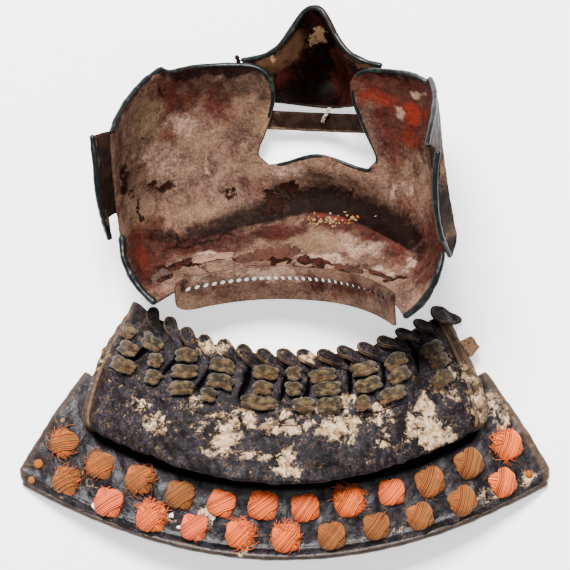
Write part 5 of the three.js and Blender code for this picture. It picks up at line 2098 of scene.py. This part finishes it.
@dataclass
class CrossKnots:
    """The silk cross knots on the lower lame: two thick bands of threads laid over each other."""

    pitch: float = 5.8
    upper_radius: float = 208.5
    lower_radius: float = 223.5
    arm: float = 7.9
    threads: int = 11
    thread: float = 0.46
    hair: float = 0.20
    under_half: float = 3.9
    over_half: float = 4.5
    height: float = 4.6
    lift: float = 0.3

    UPPER_ROW = (
        KnotState.TAN_FRAYED, KnotState.TAN_FRAYED, KnotState.TAN_FRAYED, KnotState.PALE,
        KnotState.WHOLE, KnotState.WHOLE, KnotState.WHOLE, KnotState.TORN,
        KnotState.WHOLE, KnotState.TAN, KnotState.SHADED, KnotState.FRAYED,
    )
    LOWER_ROW = (
        KnotState.TAN_FRAYED, KnotState.PINK, KnotState.FRAYED, KnotState.PINK, KnotState.FRAYED,
        KnotState.FRAYED, KnotState.TAN, KnotState.PALE, KnotState.TAN, KnotState.TAN, KnotState.WHOLE,
    )

    def band(self, turn: float, half: float, height: float, rng: np.random.Generator) -> Surface:
        """One band: threads side by side, each a low arch, drawn in a little over the middle.

        Args:
            turn: The band's direction, in degrees.
            half: Half its width.
            height: Height of the arch.
            rng: Source of the unevenness.

        Returns:
            The band as tubes.
        """
        along = np.linspace(-1, 1, 17)[None, :]
        place = np.linspace(-1, 1, self.threads)[:, None]
        pinch = (0.9 + 0.2 * np.abs(along)) * (1 - 0.36 * np.abs(along) ** 6)
        x = along * self.arm * (1 - 0.17 * place**2)
        y = place * half * pinch + rng.uniform(-0.14, 0.14, (self.threads, 1))
        z = height * (1 - np.abs(along) ** 3.4) * (1 - 0.26 * place**2) + 0.2
        z = z + rng.uniform(-0.1, 0.1, (self.threads, 1))
        paths = turned(columns(x, y, z), turn)
        threads = tubes(paths, self.thread, (0, 0, 1.0), 7)
        shade = rng.random(self.threads) ** 2
        rings = (len(threads.points) - 2 * self.threads) // self.threads
        threads.values["strand"] = np.concatenate([np.repeat(shade, rings), shade, shade])
        return threads

    def fringe(self, count: int, rng: np.random.Generator) -> Surface:
        """Loose threads that start in the knot and curl outwards over the lame.

        Args:
            count: How many there are.
            rng: Source of their places, lengths and curls.

        Returns:
            The threads as tubes.
        """
        way = rng.normal(0, 0.9, count) + rng.uniform(0, 2 * np.pi)
        start = rng.uniform(2.0, 5.0, count)
        length = rng.uniform(3.0, 6.5, count)
        along = np.linspace(0, 1, 5)[None, :]
        curl = rng.uniform(-0.9, 0.9, count)[:, None] * along**1.5
        radius = start[:, None] + length[:, None] * along
        angle = way[:, None] + curl
        wave = 0.5 + 0.5 * np.sin(4 * along + way[:, None])
        lift = rng.uniform(1.5, 4.2, count)[:, None] * (1 - along**1.6) + wave
        paths = columns(radius * np.cos(angle), radius * np.sin(angle), np.maximum(lift, 0.2))
        hairs = tubes(paths, self.hair, (0.1, 0.1, 1.0), 4, round_ends=False)
        hairs.fill(strand=0.35)
        return hairs

    def core(self) -> Surface:
        """Returns a low cushion under the threads that closes the gaps between them, darkest in tone as
        painted shade.
        """
        path = columns(np.linspace(-1, 1, 13) * self.arm * 0.56, 0.0, 0.4)[None]
        fat = self.arm * 0.62 * np.sqrt(1.02 - np.linspace(-0.8, 0.8, 13) ** 2)[None]
        cushion = tubes(path, fat, (0, 0, 1.0), 14, (1.0, 0.36))
        # The darkest thread tone: painted shade under and between the threads.
        cushion.fill(strand=1.0)
        return cushion

    def knot(self, state: KnotState, seed: int) -> Surface:
        """One knot: a cushion, two bands and the loose threads.

        Args:
            state: How it has worn.
            seed: Picks its unevenness.

        Returns:
            The knot lying flat about its middle.
        """
        rng = np.random.default_rng(seed)
        parts = [self.core(), self.band(-45, self.under_half, self.height * 0.72, rng),
                 self.band(45, self.over_half, self.height, rng)]
        if state.loose:
            parts.append(self.fringe(state.loose, rng))
        shape = Surface.joined(*parts)
        shape.points = turned(shape.points, rng.uniform(-12, 12)) * rng.uniform(0.92, 1.04)
        shape.points += columns(rng.uniform(-0.7, 0.7), rng.uniform(-0.7, 0.7), 0)
        shape.fill(fade=state.fade, blush=state.blush)
        return shape

    def build(self) -> None:
        """Builds both rows, each knot a piece that stands for its solid."""
        material = Silk().material()
        rows = (("upper", self.UPPER_ROW, self.upper_radius), ("lower", self.LOWER_ROW, self.lower_radius))
        for offset, (name, states, radius) in enumerate(rows):
            for k, state in enumerate(states):
                angle = (k - (len(states) - 1) / 2) * self.pitch
                knot = LOWER.set_on(self.knot(state, 200 + 40 * offset + k), angle, radius, self.lift)
                add_piece(f"silk_{name}_{k + 1}", knot, GUARD_PLACE, material, Slot.SILK,
                          f"{name}_knot_{k + 1}")


@dataclass
class EndTab:
    """The short leather tab at the upper lame's right end, bent up a little and torn."""

    angle: float = 34.6
    radius: float = 158.0
    length: float = 6.4
    width: float = 8.5
    wall: float = 1.6
    lift: float = 0.8

    def build(self) -> None:
        """Builds the tab: a grid with a ragged outer edge, curled by a square of its length."""
        across = np.linspace(-0.5, 0.5, 25)[None, :]
        up = np.linspace(-0.5, 0.5, 25)[:, None]
        ragged = 1 + 0.12 * np.sin(7 * up) * (across + 0.5)
        grid = columns(across * self.length * ragged, up * self.width * (1 - 0.3 * (across + 0.5)),
                       1.2 * (across + 0.5) ** 2 + self.wall)
        tab = Surface.of_grid(grid).thickened(self.wall)
        add_piece("end_tab_leather", UPPER.set_on(tab, self.angle, self.radius, self.lift), GUARD_PLACE,
                  DryLeather().material(), Slot.LEATHER, "end_tab")


# ---- The set ----


@dataclass(frozen=True)
class AreaLight:
    """A square light: its name, where it stands and its side in metres, and its power in watts."""

    name: str
    place: tuple[float, float, float]
    side: float
    power: float

    def add(self) -> None:
        """Adds the light, aimed at the middle of the floor."""
        data = bpy.data.lights.new(self.name, "AREA")
        data.shape = "SQUARE"
        data.size = self.side
        data.energy = self.power
        light = bpy.data.objects.new(self.name, data)
        x, y, z = self.place
        light.location = self.place
        light.rotation_euler = (math.acos(z / math.hypot(x, y, z)), 0, math.atan2(y, x) + math.pi / 2)
        bpy.context.scene.collection.objects.link(light)


@dataclass
class Studio:
    """A pale floor, soft light from above and behind, and a camera straight overhead."""

    camera_height: float = 2.375
    camera_y: float = -0.00094
    lens: float = 296.0
    sensor: float = 36.0
    floor_half: float = 3.0
    floor_white: float = 0.9
    floor_glow: float = 1.0
    sky_strength: float = 0.28

    LIGHTS = (AreaLight("key", (-0.3, 1.15, 2.05), 0.8, 250.0),
              AreaLight("overhead", (0.25, -0.1, 2.2), 1.0, 14.0))

    def add_floor(self) -> None:
        """Adds the floor just under the object."""
        far = self.floor_half
        mesh = bpy.data.meshes.new("floor")
        corners = [(-far, -far, 0), (far, -far, 0), (far, far, 0), (-far, far, 0)]
        mesh.from_pydata(corners, [], [(0, 1, 2, 3)])
        shader = Shader("pale_floor", (self.floor_white,) * 3 + (1.0,))
        mesh.materials.append(shader.finish(0.9, Emission_Strength=self.floor_glow))
        floor = bpy.data.objects.new("floor", mesh)
        bpy.context.scene.collection.objects.link(floor)

    def add_camera(self) -> None:
        """Adds the camera, which looks straight down."""
        data = bpy.data.cameras.new("camera")
        data.lens = self.lens
        data.sensor_width = self.sensor
        data.clip_end = 20.0
        camera = bpy.data.objects.new("camera", data)
        camera.location = (0, self.camera_y, self.camera_height)
        bpy.context.scene.collection.objects.link(camera)
        bpy.context.scene.camera = camera

    def build(self) -> None:
        """Adds camera, floor, lights and sky."""
        self.add_camera()
        self.add_floor()
        for light in self.LIGHTS:
            light.add()
        world = bpy.data.worlds.new("sky")
        world.use_nodes = True
        background = world.node_tree.nodes["Background"]
        background.inputs["Color"].default_value = (1.0, 1.0, 1.0, 1.0)
        background.inputs["Strength"].default_value = self.sky_strength
        bpy.context.scene.world = world


INSIDE = InsideLacquer().material()
RIM = RolledRim().material()
BROWN = BrownLacquer().material()
IRON = OldIron().material()


def main() -> None:
    """Builds the set, the mask and the throat guard."""
    logging.basicConfig(level=logging.INFO, format="%(message)s")
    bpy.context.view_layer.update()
    Studio().build()
    shell = MaskShell()
    shell.build()
    Nose().build()
    Wings().build()
    ThroatFlange().build()
    SeamStrips().build(shell)
    Crumbling().build(shell)
    UpperLame().build()
    LowerLame().build()
    EndTab().build()
    Lacing().build()
    CrossKnots().build()


if __name__ == "__main__":
    main()
